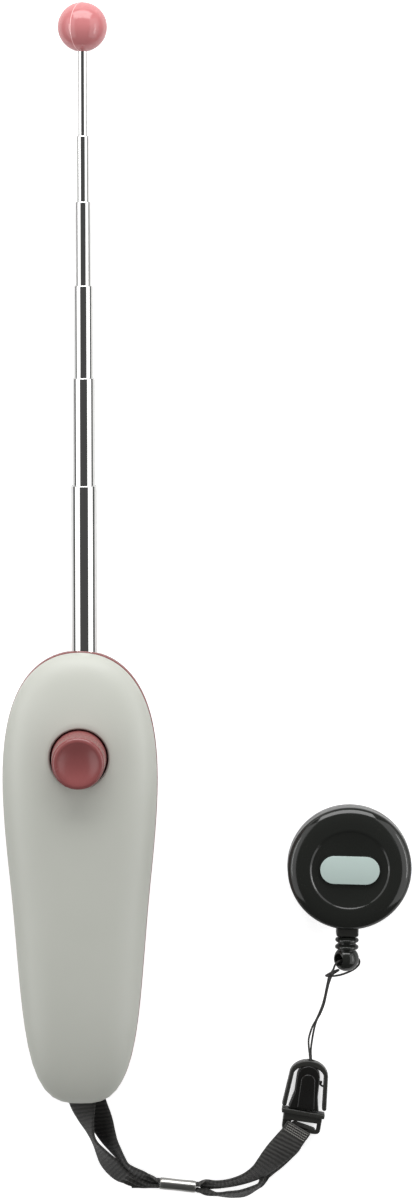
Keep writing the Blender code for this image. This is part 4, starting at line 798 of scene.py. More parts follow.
# %% The doubled cord
LOOP_CORD_RADIUS = 0.28 * MM
CORD_ROUTE = (
    (62.45, -53.10, 2.68), (62.24, -51.80, 2.66), (62.10, -50.45, 2.50), (61.95, -49.17, 2.05),
    (61.88, -47.21, 1.60), (62.21, -45.50, 1.60), (62.88, -43.42, 1.75), (63.87, -41.50, 2.00),
    (64.86, -39.19, 2.40), (65.77, -36.50, 3.00), (66.35, -33.80, 3.80), (66.85, -30.90, 4.60),
    (67.42, -28.45, 5.20), (68.35, -26.20, 8.00), (68.80, -24.50, 10.00), (69.80, -23.45, 10.20),
    (71.90, -23.15, 8.30), (73.90, -23.30, 6.40), (75.30, -23.80, 5.40), (75.54, -24.90, 5.00),
    (75.00, -26.00, 4.60), (73.46, -27.20, 4.40), (70.80, -28.20, 4.80), (68.46, -28.40, 5.90),
    (67.10, -28.40, 6.00), (66.50, -28.55, 4.80), (67.00, -28.50, 3.40), (68.60, -27.85, 2.50),
    (69.80, -27.50, 2.20), (69.95, -27.75, 1.60), (69.30, -28.25, 1.30), (68.26, -28.98, 1.50),
    (67.75, -30.09, 1.90), (67.20, -31.71, 2.20), (66.63, -34.24, 2.20), (66.08, -36.89, 1.90),
    (65.14, -39.58, 1.30), (64.16, -41.55, 0.90), (63.57, -43.45, 0.80), (63.17, -45.31, 0.90),
    (62.83, -47.32, 1.10), (62.56, -49.28, 1.50), (62.50, -50.56, 1.90), (62.56, -51.71, 2.14),
    (62.60, -53.10, 2.14))


def tube(name, path, radius, sides=12):
    """A round cord skinned along a path, with turns and millimetres as its UV."""
    rings, lengths, run = [], [], 0.0
    last = len(path) - 1
    side = (path[1] - path[0]).orthogonal().normalized()
    for i, place in enumerate(path):
        along = (path[min(i + 1, last)] - path[max(i - 1, 0)]).normalized()
        side = (side - along * side.dot(along)).normalized()
        up = along.cross(side)
        if i:
            run += (place - path[i - 1]).length
        lengths.append(run / MM)
        turns = [math.tau * k / sides for k in range(sides)]
        rings.append([place + side * radius * math.cos(t) + up * radius * math.sin(t)
                      for t in turns])
    return skin(name, rings, lengths=lengths, girth=1.0), run


cord_path = smooth_row([Vector(point) * MM for point in CORD_ROUTE], 8)
loop_cord, cord_length = tube("loop_cord", cord_path, LOOP_CORD_RADIUS)
finish_piece(loop_cord, BLACK_CORD, "black_cord", "cord", "loop_cord", smooth=60)
print(f"loop_cord: {cord_length / MM:.0f} mm long")

# %% [markdown]
# The upper layer ends on top of the buckle's bar, sewn to the lower one. Four rows of grey
# zigzag stitches lie on it, in its own surface: each point of a row is found between the
# edges of the ring that is that far from the end, and lifted by half a thread.

# %% Stitches
STITCH_ROWS = 4
ROW_PITCH = 0.66 * MM
FIRST_ROW = 0.35 * MM
ZIGZAG = 0.24 * MM
STITCHES = 9
STITCH_REACH = 0.86
THREAD_RADIUS = 0.09 * MM
SEWN_END = (len(inner_stations) - 1) * STRIP_STEPS


def on_layer(back, side):
    """A point on the upper face, a distance back from the sewn end, side -1 to 1 across."""
    index, left = SEWN_END, back
    while left > (inner_path[index] - inner_path[index - 1]).length:
        left -= (inner_path[index] - inner_path[index - 1]).length
        index -= 1
    share = left / (inner_path[index] - inner_path[index - 1]).length
    column = (side + 1) / 2 * HALF_RING
    low, part = int(column), column - int(column)
    points = []
    for ring in (inner_rings[index], inner_rings[index - 1]):
        faces = (ring[:HALF_RING + 1], list(reversed(ring[HALF_RING + 1:])))
        upper = max(faces, key=lambda face: face[HALF_RING // 2].z)
        points.append(upper[low].lerp(upper[min(low + 1, HALF_RING)], part))
    return points[0].lerp(points[1], share) + Vector((0.0, 0.0, THREAD_RADIUS * 0.5))


stitch_rows = []
for row in range(STITCH_ROWS):
    route = []
    for k in range(2 * STITCHES + 1):
        side = -STITCH_REACH + 2 * STITCH_REACH * k / (2 * STITCHES)
        back = FIRST_ROW + ROW_PITCH * row + (ZIGZAG if k % 2 else 0.0)
        route.append(on_layer(back, side))
    stitch_rows.append(tube(f"stitch_row_{row}", route, THREAD_RADIUS, 8)[0])
stitching = joined(stitch_rows)
stitching.name = stitching.data.name = "strap_stitching"
finish_piece(stitching, GREY_THREAD, None, BUCKLE_BEND, smooth=60)

# %% [markdown]
# ## The handle
#
# Two egg-shaped shells meet at a parting line. The outline is a rounded oval that is wider
# towards the mast, and each shell is a pillow on it: nearly flat in the middle, steep at the
# rim. A boolean for the button's hole would leave untidy faces on so smooth a crown. So the
# front is skinned in rings, from the hole's rounded lip out to the rim, under it, and back
# along the inside.

# %% The rule of the outline and of the crown
HANDLE_LENGTH = 123.0 * MM
MIDDLE_HALF_WIDTH = 18.9 * MM
TAPER = 6.4 * MM
SWELL = 5.2 * MM
TOP_POWER = 2.12
FOOT_POWER = 3.0
PARTING_Z = 14.5 * MM
FRONT_HEIGHT = 10.5 * MM
BACK_DEPTH = 15.6 * MM
FRONT_POWER = 2.5
BACK_POWER = 3.6
SHELL_WALL = 1.8 * MM
RIM_ROUND = 0.25 * MM
CROWDING = 2.4
RIM_PROUD = 0.09 * MM
RIM_ASIDE = Vector((0.06, 0.14)) * MM
HALF_GAP = 0.15 * MM


def egg_point(angle, grow):
    """A point on the handle's outline, grown sideways by a length."""
    rise, reach = math.sin(angle), math.cos(angle)
    power = TOP_POWER if rise > 0 else FOOT_POWER
    along = math.copysign(abs(rise) ** (2 / power), rise)
    across = math.copysign(abs(reach) ** (2 / power), reach)
    half_width = MIDDLE_HALF_WIDTH + TAPER * along + SWELL * along ** 2 + grow
    return Vector((half_width * across, (HANDLE_LENGTH / 2 + grow) * along))


def crown(fraction, height, power):
    """Height of the pillow at a fraction of the way to its edge."""
    return height * max(0.0, 1 - min(1.0, fraction) ** power) ** (1 / power)


def outline_towards(centre, direction, grow):
    """The egg angle whose outline point lies in a direction from a centre."""
    low, high = direction - math.pi, direction + math.pi
    for _ in range(60):
        middle = (low + high) / 2
        away = egg_point(middle, grow) - centre
        off = math.atan2(away.y, away.x) - direction
        off = (off + math.pi) % math.tau - math.pi
        if off > 0:
            high = middle
        else:
            low = middle
    return egg_point((low + high) / 2, grow)


def fraction_at(point, grow):
    """How far out a point lies, from 0 in the middle to 1 on the outline."""
    if point.length < 0.01 * MM:
        return 0.0
    edge = outline_towards(Vector((0.0, 0.0)), math.atan2(point.y, point.x), grow)
    return point.length / edge.length


print(f"handle: {HANDLE_LENGTH / MM:.0f} mm long, {(PARTING_Z + FRONT_HEIGHT) / MM:.0f} mm deep")

# %% Grey front shell
BUTTON_PLACE = Vector((0.0, 0.278 * HANDLE_LENGTH))
HOLE_RADIUS = 7.85 * MM
LIP = 0.5 * MM
SHELL_AROUND = 160
CROWN_RINGS = 30
INSIDE_RINGS = 9
FRONT_FOOT = PARTING_Z + HALF_GAP


def front_top(point):
    return FRONT_FOOT + crown(fraction_at(point, 0.0), FRONT_HEIGHT, FRONT_POWER)


def front_inside(point):
    fraction = fraction_at(point, -SHELL_WALL)
    return FRONT_FOOT + crown(fraction, FRONT_HEIGHT - SHELL_WALL, FRONT_POWER)


def directions_from_hole(count):
    """Directions from the button, half even in angle and half even along the outline."""
    turns = []
    for i in range(count):
        even = math.tau * i / count
        away = egg_point(even, 0.0) - BUTTON_PLACE
        seen = math.atan2(away.y, away.x) % math.tau
        if seen - even > math.pi:
            seen -= math.tau
        if even - seen > math.pi:
            seen += math.tau
        turns.append(0.5 * even + 0.5 * seen)
    return turns


def lip_ring(radius, drop):
    """A ring round the hole, a drop below the crown at the lip's outer edge."""
    ring = []
    for turn in hole_turns:
        way = Vector((math.cos(turn), math.sin(turn)))
        point = BUTTON_PLACE + way * radius
        level = front_top(BUTTON_PLACE + way * (HOLE_RADIUS + LIP))
        ring.append((point.x, point.y, level - drop))
    return ring


def crown_ring(rim, radius, share, level_at):
    """A ring a share of the way from a circle round the hole out to a rim."""
    ring = []
    for turn, end in zip(hole_turns, rim):
        start = BUTTON_PLACE + Vector((math.cos(turn), math.sin(turn))) * radius
        point = start.lerp(end, share)
        ring.append((point.x, point.y, level_at(point)))
    return ring


def rim_inset(inset):
    return [outline_towards(BUTTON_PLACE, turn, -inset) for turn in hole_turns]


hole_turns = directions_from_hole(SHELL_AROUND)
outer_rim = rim_inset(0.0)
inner_rim = rim_inset(SHELL_WALL)
rings = [lip_ring(HOLE_RADIUS, SHELL_WALL), lip_ring(HOLE_RADIUS, LIP)]
for share in (0.15, 0.35, 0.65):
    rings.append(lip_ring(HOLE_RADIUS + LIP * share, LIP * (1 - share) ** 2))
for i in range(CROWN_RINGS):
    share = 1 - (1 - i / CROWN_RINGS) ** CROWDING
    rings.append(crown_ring(outer_rim, HOLE_RADIUS + LIP, share, front_top))
for rim, rise in ((outer_rim, RIM_ROUND), (rim_inset(0.07 * MM), 0.07 * MM),
                  (rim_inset(0.25 * MM), 0.0), (inner_rim, 0.0)):
    rings.append([(point.x, point.y, FRONT_FOOT + rise) for point in rim])
for i in reversed(range(INSIDE_RINGS)):
    share = 1 - (1 - i / INSIDE_RINGS) ** 2
    rings.append(crown_ring(inner_rim, HOLE_RADIUS * 1.02, share, front_inside))
front_shell = skin("front_shell", rings, joined_up=True)
finish_piece(front_shell, GREY_SHELL, "grey_shell", "handle", "front_shell", smooth=40)

# %% [markdown]
# The rose back is deeper and blunter, and cut flat where it lies. It is skinned from the
# middle of that flat to the rim and back inside, and then gets what such a moulding gets:
# three screw bosses, the mouth for the mast, the slot for the strap and two lugs for its pin.

# %% Rose back shell
RIM_LEVEL = PARTING_Z - HALF_GAP
FLAT_EDGE = 0.664
BACK_AROUND = 144
BACK_RINGS = 26


def back_level(fraction, wall):
    """Height of the back's outside, or of its inside a wall away, softly cut flat."""
    full = BACK_DEPTH - wall * BACK_DEPTH / PARTING_Z
    level = RIM_LEVEL - crown(fraction, full, BACK_POWER) + HALF_GAP * fraction
    return max(level, wall)


def back_ring(fraction, wall, level=None):
    ring = []
    grow = RIM_PROUD if wall == 0.0 else -wall
    for i in range(BACK_AROUND):
        point = egg_point(math.tau * i / BACK_AROUND, grow) * fraction
        if wall == 0.0:
            point += RIM_ASIDE * fraction ** 4
        ring.append((point.x, point.y, back_level(fraction, wall) if level is None else level))
    return ring


fractions = [0.03, 0.25, 0.45, 0.58, 0.64, FLAT_EDGE]
fractions += [FLAT_EDGE + (1 - FLAT_EDGE) * (1 - (1 - i / BACK_RINGS) ** CROWDING)
              for i in range(1, BACK_RINGS)]
rings = [back_ring(fraction, 0.0) for fraction in fractions]
rings.append(back_ring(1.0, 0.0, RIM_LEVEL - RIM_ROUND))
rings.append(back_ring(0.9975, 0.0, RIM_LEVEL))
rings.append(back_ring(1.0, SHELL_WALL, RIM_LEVEL))
rings += [back_ring(fraction, SHELL_WALL) for fraction in (0.97, 0.92, 0.84, 0.74, 0.6, 0.3, 0.03)]
back_shell = skin("back_shell", rings)

# %% Bosses, mouth, slot and lugs of the back
SCREW_ASIDE = 0.58 * MIDDLE_HALF_WIDTH
SCREW_PLACES = ((-SCREW_ASIDE, 0.378 * HANDLE_LENGTH), (SCREW_ASIDE, 0.378 * HANDLE_LENGTH),
                (0.0, -0.358 * HANDLE_LENGTH))
SCREW_HEAD_RADIUS = 2.1 * MM
SCREW_HEAD_HEIGHT = 1.3 * MM
SCREW_SHANK_RADIUS = 1.1 * MM
BOSS_WALL = 1.2 * MM
SEAT_DEPTH = 1.2 * MM
FIT = 0.3 * MM
MAST_X = 1.2 * MM
MAST_Z = 9.0 * MM
GUIDE_RADIUS = 4.5 * MM


def seat_level(x, y):
    """Where a screw's head seats, a set depth inside the shell's outside."""
    drop = crown(fraction_at(Vector((x, y)), 0.0), BACK_DEPTH, BACK_POWER)
    return max(0.0, PARTING_Z - drop) + SEAT_DEPTH + SCREW_HEAD_HEIGHT


for x, y in SCREW_PLACES:
    seat = seat_level(x, y)
    foot = seat - SCREW_HEAD_HEIGHT
    boss = rod("boss", SCREW_HEAD_RADIUS + FIT + BOSS_WALL, (x, y, foot), (x, y, RIM_LEVEL))
    combine(back_shell, boss, "UNION")
    bore = rod("bore", SCREW_SHANK_RADIUS + FIT, (x, y, -MM), (x, y, PARTING_Z + MM))
    combine(back_shell, bore, "DIFFERENCE")
    sink = rod("sink", SCREW_HEAD_RADIUS + FIT, (x, y, -MM), (x, y, seat + FIT))
    combine(back_shell, sink, "DIFFERENCE")
mouth = rod("mouth", GUIDE_RADIUS + FIT, (MAST_X, 42.5 * MM, MAST_Z), (MAST_X, 70 * MM, MAST_Z), 48)
combine(back_shell, mouth, "DIFFERENCE")
slot = block("slot", (-6.6 * MM, -70 * MM, 4.4 * MM), (6.6 * MM, -51.5 * MM, PARTING_Z + MM))
combine(back_shell, slot, "DIFFERENCE")
for low_x, high_x in ((-8.1, -6.9), (6.9, 8.1)):
    lug = block("lug", (low_x * MM, -56.65 * MM, 5.05 * MM), (high_x * MM, -52.1 * MM, 9.35 * MM))
    combine(back_shell, lug, "UNION")
pin_bore = rod("pin_bore", 1.55 * MM, (-7.8 * MM, PIN_PLACE.y, PIN_PLACE.z),
               (7.8 * MM, PIN_PLACE.y, PIN_PLACE.z))
combine(back_shell, pin_bore, "DIFFERENCE")
# The back shell wears the darker rose as painted shade along its rim.
finish_piece(back_shell, DEEP_ROSE_AND_SHADE, "rose_plastic", "handle", "back_shell", smooth=35)

# %% [markdown]
# The three self-tapping screws sit deep in the back. A screw is turned like any other round
# piece, and its cross recess is two small blocks cut out of the head.

# %% Screws
SCREW_BITE = 4.5 * MM


def handle_screw(number, x, y):
    seat = seat_level(x, y)
    tip = PARTING_Z + HALF_GAP + SCREW_BITE
    head = seat - SCREW_HEAD_HEIGHT
    profile = [(0.0, tip), (SCREW_SHANK_RADIUS * 0.5, tip),
               (SCREW_SHANK_RADIUS * 0.75, tip - 0.6 * MM)]
    level = tip - 1.2 * MM
    while level > seat + 1.6 * MM:
        profile += [(SCREW_SHANK_RADIUS, level), (SCREW_SHANK_RADIUS * 0.8, level - 0.4 * MM)]
        level -= 0.8 * MM
    profile += [(SCREW_SHANK_RADIUS * 0.9, seat), (SCREW_HEAD_RADIUS * 0.96, seat),
                (SCREW_HEAD_RADIUS, seat - 0.15 * MM), (SCREW_HEAD_RADIUS, head + 0.7 * MM),
                (SCREW_HEAD_RADIUS * 0.9, head + 0.3 * MM),
                (SCREW_HEAD_RADIUS * 0.6, head + 0.05 * MM), (0.0, head)]
    centre = Vector((x, y, 0.0))
    screw = turned(f"handle_screw_{number}", profile, lambda r, h: centre + Vector((r, 0.0, h)),
                   centre, (0, 0, 1), 32)
    for long_x, long_y in ((1.25, 0.22), (0.22, 1.25)):
        low = (x - long_x * MM, y - long_y * MM, head - MM)
        high = (x + long_x * MM, y + long_y * MM, head + 0.75 * MM)
        combine(screw, block("recess", low, high), "DIFFERENCE")
    finish_piece(screw, STEEL, "steel", "handle", f"handle_screw_{number}")


for number, (x, y) in enumerate(SCREW_PLACES, 1):
    handle_screw(number, x, y)

# %% [markdown]
# ## The mast
#
# Six thin-walled chrome tubes slide in one another. Each is one drawing spun about the
# mast's axis: a rolled-in lip at the top that holds the next tube, a wall, and a flared
# foot that stops it from leaving the last one. Booleans aren't needed, because the whole
# wall, inside and out, is in the drawing.

# %% Axis of the mast
MOUTH_Y = HANDLE_LENGTH / 2
SHOWN_AT_REST = (44.4, 28.8, 24.6, 22.2, 17.4, 22.0)
TUBE_LENGTH = 92.0 * MM
TUBE_WALL = 0.2 * MM
TUBE_GAP = 0.12 * MM
FLARE = 0.12 * MM
MAST_AXIS = (0, 1, 0)
THICKEST_RADIUS = 3.5 * MM
RADIUS_STEP = 0.45 * MM
LAST_TUBE_IN_BALL = 5.7 * MM


def on_mast(start_y):
    """Puts a (radius, height) point on the mast, with heights from a start."""
    return lambda r, h: Vector((MAST_X + r, start_y + h, MAST_Z))


def tube_radius(index):
    return THICKEST_RADIUS - RADIUS_STEP * index


def tube_top(index):
    return MOUTH_Y + sum(SHOWN_AT_REST[:index + 1]) * MM


print(f"mast: {(tube_top(5) - MOUTH_Y) / MM:.0f} mm of tube shown at rest")

# %% Guide bush and the six tubes
guide_drawing = [(3.8, -0.15), (3.95, 0.0), (4.35, 0.0), (4.5, -0.15), (4.5, -9.3), (4.35, -9.5),
                 (3.95, -9.5), (3.8, -9.3), (3.8, -0.15)]
guide = turned("mast_guide", [(r * MM, h * MM) for r, h in guide_drawing],
               on_mast(MOUTH_Y - 2.0 * MM), (MAST_X, 0, MAST_Z), MAST_AXIS)
finish_piece(guide, WHITE_PLASTIC, "white_plastic", "handle", "mast_guide")


def mast_tube(index):
    radius = tube_radius(index)
    is_last = index == 5
    lip = radius - 0.5 * MM if is_last else tube_radius(index + 1) + TUBE_GAP
    roll = 0.4 * MM
    foot = -TUBE_LENGTH
    drawing = [(lip, -1.5 * TUBE_WALL), (lip, -0.35 * TUBE_WALL), (lip + 0.07 * MM, 0.0)]
    reach = radius - roll
    if reach > lip + 0.1 * MM:
        drawing.append((reach, 0.0))
        start = 90
    else:
        start = 60
        roll = radius - lip - 0.07 * MM
        reach = radius - roll
    drawing += arc((reach, -roll), roll, start, 0, 6)
    drawing += [(radius, foot + 1.0 * MM), (radius + FLARE, foot + 0.6 * MM), (radius + FLARE, foot),
                (radius + FLARE - TUBE_WALL, foot), (radius + FLARE - TUBE_WALL, foot + 0.6 * MM),
                (radius - TUBE_WALL, foot + 1.0 * MM), (radius - TUBE_WALL, -roll),
                (lip + 0.03 * MM, -1.5 * TUBE_WALL), (lip, -1.5 * TUBE_WALL)]
    name = f"mast_section_{6 - index}"
    top = tube_top(index) + (LAST_TUBE_IN_BALL if is_last else 0.0)
    tube_piece = turned(name, drawing, on_mast(top), (MAST_X, 0, MAST_Z), MAST_AXIS)
    finish_piece(tube_piece, CHROME, "chrome", f"mast_{6 - index}", name, smooth=30)


for index in range(6):
    mast_tube(index)

# %% [markdown]
# The ball is moulded in two halves, so a fine line runs round it from pole to pole. It
# starts as a UV sphere. Points that lie on the line are drawn out a hair, the finish paints
# the line paler as a painted highlight where the ridge catches the light, and a bore takes
# the tube.

# %% Target ball
BALL_RADIUS = 6.55 * MM
BALL_BORE = 1.55 * MM
BALL_BORE_DEPTH = 6.0 * MM
SEAM_TURN = math.radians(28.0)
SEAM_RISE = 0.06 * MM
SEAM_WIDTH = 0.07 * MM
SEAM_HIGHLIGHT_PINK = (0.80, 0.44, 0.44)
SEAM_NEAR = 0.16 * MM
ball_centre = Vector((MAST_X, tube_top(5) + BALL_RADIUS, MAST_Z))

ball = uv_ball("tip_ball", BALL_RADIUS, ball_centre, 96, 48, (-math.pi / 2, 0.0, 0.0))
seam_normal = Vector((math.cos(SEAM_TURN), 0.0, math.sin(SEAM_TURN)))
for vertex in ball.data.vertices:
    offset = vertex.co - ball_centre
    away = abs(offset.dot(seam_normal))
    vertex.co += offset.normalized() * SEAM_RISE * max(0.0, 1 - away / SEAM_NEAR)
bore = rod("bore", BALL_BORE, ball_centre + Vector((0, -2 * BALL_RADIUS, 0)),
           ball_centre + Vector((0, BALL_BORE_DEPTH - BALL_RADIUS, 0)), 48)
combine(ball, bore, "DIFFERENCE")
# Painted highlight: a thin paler line along the seam, for the light that its ridge catches.
rose_tree = ROSE.node_tree
rose_shader = rose_tree.nodes["Principled BSDF"]
plain_rose = rose_shader.inputs["Base Color"].links[0].from_socket
off_middle = vector_calc(rose_tree, "SUBTRACT", object_place(rose_tree), ball_centre).outputs[0]
off_seam = vector_calc(rose_tree, "DOT_PRODUCT", off_middle, seam_normal).outputs["Value"]
seam_highlight = ranged(rose_tree, calc(rose_tree, "ABSOLUTE", off_seam), 1.0, 0.0,
                 SEAM_WIDTH, 2 * SEAM_WIDTH)
seam_highlighted = mix_colours(rose_tree, seam_highlight, plain_rose, SEAM_HIGHLIGHT_PINK)
rose_tree.links.new(seam_highlighted, rose_shader.inputs["Base Color"])
finish_piece(ball, ROSE, "rose_plastic", "mast_1", "tip_ball", smooth=50)

# %% [markdown]
# ## The button
#
# A dished cap with a rounded rim, a flange under the shell that keeps it in, and a stem that
# presses the spring leaf. One drawing gives all of it.

# %% Clicker button
BUTTON_TOP = 32.6 * MM
BUTTON_SIDE = 7.4 * MM
BUTTON_RIM = 7.0 * MM
BUTTON_EDGE = 1.0 * MM
DISH_DEPTH = 1.4 * MM
DISH_STEPS = 16
FLANGE_RADIUS = 9.0 * MM
SKIRT_RADIUS = 6.2 * MM
CAP_UNDERSIDE = 27.6 * MM
FLANGE_FOOT = 20.0 * MM
STEM_RADIUS = 1.2 * MM
STEM_FOOT = 18.3 * MM
dish_radius = BUTTON_RIM - 1.3 * BUTTON_EDGE
button_drawing = []
for i in range(DISH_STEPS + 1):
    out = i / DISH_STEPS
    dip = DISH_DEPTH * (1 - out ** 2.2) ** 1.3
    button_drawing.append((dish_radius * out, BUTTON_TOP - 0.12 * MM - dip))
button_drawing += arc((BUTTON_RIM - BUTTON_EDGE, BUTTON_TOP - BUTTON_EDGE), BUTTON_EDGE,
                      108, 2, 12)
button_drawing += [(BUTTON_SIDE, FLANGE_FOOT + 1.3 * MM), (BUTTON_SIDE + 0.2 * MM, FLANGE_FOOT + MM),
                   (FLANGE_RADIUS, FLANGE_FOOT + MM), (FLANGE_RADIUS, FLANGE_FOOT),
                   (SKIRT_RADIUS, FLANGE_FOOT), (SKIRT_RADIUS, CAP_UNDERSIDE),
                   (STEM_RADIUS + MM, CAP_UNDERSIDE), (STEM_RADIUS + 0.4 * MM, FLANGE_FOOT),
                   (STEM_RADIUS, FLANGE_FOOT - MM), (STEM_RADIUS, STEM_FOOT), (0.0, STEM_FOOT)]
button_centre = Vector((BUTTON_PLACE.x, BUTTON_PLACE.y, 0.0))
button = turned("clicker_button", button_drawing,
                lambda r, h: button_centre + Vector((r, 0.0, h)), button_centre, (0, 0, 1), 96)
finish_piece(button, DEEP_ROSE_AND_SHADE, "rose_plastic", "button", "clicker_button", smooth=40)

# %% [markdown]
# ## The crimp
#
# The crimp is a short steel tube, rolled round the gathered webbing, with a slightly
# flattened waist where the tool bit.

# %% Crimp on the strap
CRIMP_RADIUS = 1.65 * MM
CRIMP_WALL = 0.25 * MM
CRIMP_STEPS = 12
CRIMP_PINCH = 0.06 * MM
CRIMP_EDGE = 0.05 * MM
crimp_start, crimp_end = CRIMP_ENDS
crimp_way = (crimp_end - crimp_start).normalized()
crimp_side = Vector((0.0, 0.0, 1.0))
crimp_length = (crimp_end - crimp_start).length
crimp_bore = CRIMP_RADIUS - CRIMP_WALL
crimp_drawing = [(crimp_bore, 0.0), (CRIMP_RADIUS - 0.12 * MM, 0.0)]
for i in range(CRIMP_STEPS + 1):
    share = i / CRIMP_STEPS
    pinch = CRIMP_PINCH * (1 + math.cos(math.tau * (share - 0.5))) / 2
    edge = 0.0 if 0 < i < CRIMP_STEPS else CRIMP_EDGE
    crimp_drawing.append((CRIMP_RADIUS - pinch - edge, crimp_length * (0.02 + 0.96 * share)))
crimp_drawing += [(CRIMP_RADIUS - 0.12 * MM, crimp_length), (crimp_bore, crimp_length),
                  (crimp_bore, 0.0)]
crimp = turned("strap_crimp", crimp_drawing,
               lambda r, h: crimp_start + crimp_side * r + crimp_way * h, crimp_start,
               crimp_way, 48)
finish_piece(crimp, CRIMP_STEEL, "steel", "strap", "strap_crimp", smooth=40)

# %% [markdown]
# ## The buckle
#
# A small quick-release buckle in two mouldings. The plug is a frame that holds the webbing,
# a crossbar that the thumb presses against and a tongue. The arch is a bow with two free
# legs and a sleeve between them that takes the tongue. All of it lies flat and turned by
# eight degrees, so the outlines are drawn in the buckle's own directions, in millimetres,
# and then placed.

# %% Outlines in the buckle's frame
BUCKLE_HALF_WIDTH = 5.3


def at_buckle(u, v, z):
    return buckle_point(u * MM, v * MM, z * MM)


def buckle_plate(name, outline, low, high, edge=0.0, segments=2):
    """A sheet piece in the buckle's frame, all sizes in millimetres."""
    corners = [at_buckle(u, v, low) for u, v in outline]
    return raised(name, corners, (0.0, 0.0, (high - low) * MM), edge * MM, segments)


def box_outline(half_width, low, high):
    return [(-half_width, low), (half_width, low), (half_width, high), (-half_width, high)]


# %% Plug with its crossbar, webbing frame and tongue
OPENING_OUTLINE = [(-2.95, -4.55), (4.15, -4.55), (4.15, -2.35), (-2.95, -2.35)]
plug_outline = eased(box_outline(BUCKLE_HALF_WIDTH, -5.5, 0.0), 1.5, 5, ring=True)
plug = buckle_plate("buckle_plug", plug_outline, -0.7, 0.7, 0.25, 3)
opening = buckle_plate("opening", eased(OPENING_OUTLINE, 0.5, 4, ring=True), -2.0, 2.0)
combine(plug, opening, "DIFFERENCE")
for name, outline, half_height, edge in (
        ("shoulder", box_outline(BUCKLE_HALF_WIDTH, -2.35, 0.3), 1.4, 0.3),
        ("tongue", [(-1.4, 0.0), (1.4, 0.0), (1.4, 6.2), (1.7, 6.4), (1.1, 8.8), (-1.1, 8.8),
                    (-1.7, 6.4), (-1.4, 6.2)], 0.9, 0.15),
        ("crossbar", [(-5.95, -0.4), (5.85, -0.75), (5.9, 0.55), (-5.9, 0.95)], 2.0, 0.3)):
    combine(plug, buckle_plate(name, outline, -half_height, half_height, edge, 3), "UNION")
finish_piece(plug, BLACK_SATIN, "black_satin", "plug", "buckle_plug", smooth=40)

# %% Arch with its legs and sleeve
ARCH_CROWN = (0.0, 10.5)
SLEEVE_CROWN = (-0.05, 10.25)
SLEEVE_REACH = (3.15, 3.12)
LEG_END = ((4.9, 1.85), (5.05, 1.55), (5.5, 1.45), (5.95, 1.55), (6.1, 1.85))

arch_outline = oval(ARCH_CROWN, BUCKLE_HALF_WIDTH, 4.3, 0, 180, 40)
arch_outline += [(-u, v) for u, v in reversed(LEG_END)]
arch_outline += reversed(oval(ARCH_CROWN, 4.15, 2.6, 0, 180, 40))
arch_outline += LEG_END
arch = buckle_plate("buckle_arch", arch_outline, -1.5, 1.5, 0.45, 4)
arch.data.materials.append(BLACK_SATIN)
sleeve_outline = [(-4.3, 1.15), (4.1, 1.15), (3.65, 3.0), (3.25, 5.2)]
sleeve_outline += oval(SLEEVE_CROWN, *SLEEVE_REACH, 0, 180, 30)
sleeve_outline += [(-3.2, 5.6), (-3.75, 3.4)]
panel_outline = [(-2.0, 1.55), (2.8, 1.55)] + arc((0.0, 9.15), 2.0, 0, 180, 24)
for name, outline, low, high in (("sleeve", sleeve_outline, -1.8, 1.8),
                                 ("panel", panel_outline, 0.0, 2.25)):
    smooth_part = buckle_plate(name, outline, low, high, 0.3, 3)
    smooth_part.data.materials.append(SLEEVE_BLACK)
    combine(arch, smooth_part, "UNION", keep_materials=True)
combine(arch, buckle_plate("socket", box_outline(2.0, 0.0, 9.1), -1.2, 1.2), "DIFFERENCE")
combine(arch, buckle_plate("pocket", box_outline(1.8, 10.7, 13.1), -3.6, 1.2), "DIFFERENCE")
cord_bore = rod("cord_bore", 0.95 * MM, at_buckle(0, 10.7, 0), at_buckle(0, 17.0, 0), 24)
combine(arch, cord_bore, "DIFFERENCE")
finish_piece(arch, BLACK_SATIN, "black_satin", "arch", "buckle_arch", smooth=40)

# %% Knot inside the arch
KNOT_STEPS = 60
knot_centre = at_buckle(0.0, 11.9, 0.0)
knot_route = []
for i in range(KNOT_STEPS + 1):
    turn = math.tau * 2 * i / KNOT_STEPS
    swell = 0.30 * math.cos(1.5 * turn)
    knot_route.append(knot_centre + at_buckle((0.62 + swell) * math.cos(turn),
                                              (0.42 + 0.6 * swell) * math.sin(turn),
                                              0.28 * math.sin(1.5 * turn)) - BUCKLE_PLACE)
knot_route = [at_buckle(0.0, 13.9, 0.0), at_buckle(0.15, 13.0, 0.0)] + knot_route
knot, _ = tube("cord_knot", smooth_row(knot_route, 2), LOOP_CORD_RADIUS)
finish_piece(knot, BLACK_CORD, "black_cord", "arch", "cord_knot", smooth=60)
tail_route = [at_buckle(u, v, z) for u, v, z in ((2.9, 9.3, 0.5), (3.35, 9.25, 0.5),
              (3.65, 9.0, 0.45), (3.45, 8.65, 0.4), (3.75, 8.3, 0.35), (4.3, 8.05, 0.3))]
cord_tail, _ = tube("cord_tail", smooth_row(tail_route, 4), LOOP_CORD_RADIUS)
tail_bead = uv_ball("tail_bead", 0.42 * MM, at_buckle(3.55, 9.2, 0.5), 24, 16)
combine(cord_tail, tail_bead, "UNION")
finish_piece(cord_tail, BLACK_CORD, None, "arch", smooth=60)
print("buckle: plug, arch and knot")

# %% [markdown]
# ## The reel and its stopper
#
# The reel is two glossy cups with a pale plate on the face. The stopper on its cord is one
# turned moulding: a ribbed collar and a ball with a hole across it that the thin cord goes
# through. Both are drawn in the reel's own frame, in millimetres, which lies turned by a
# degree and a half.

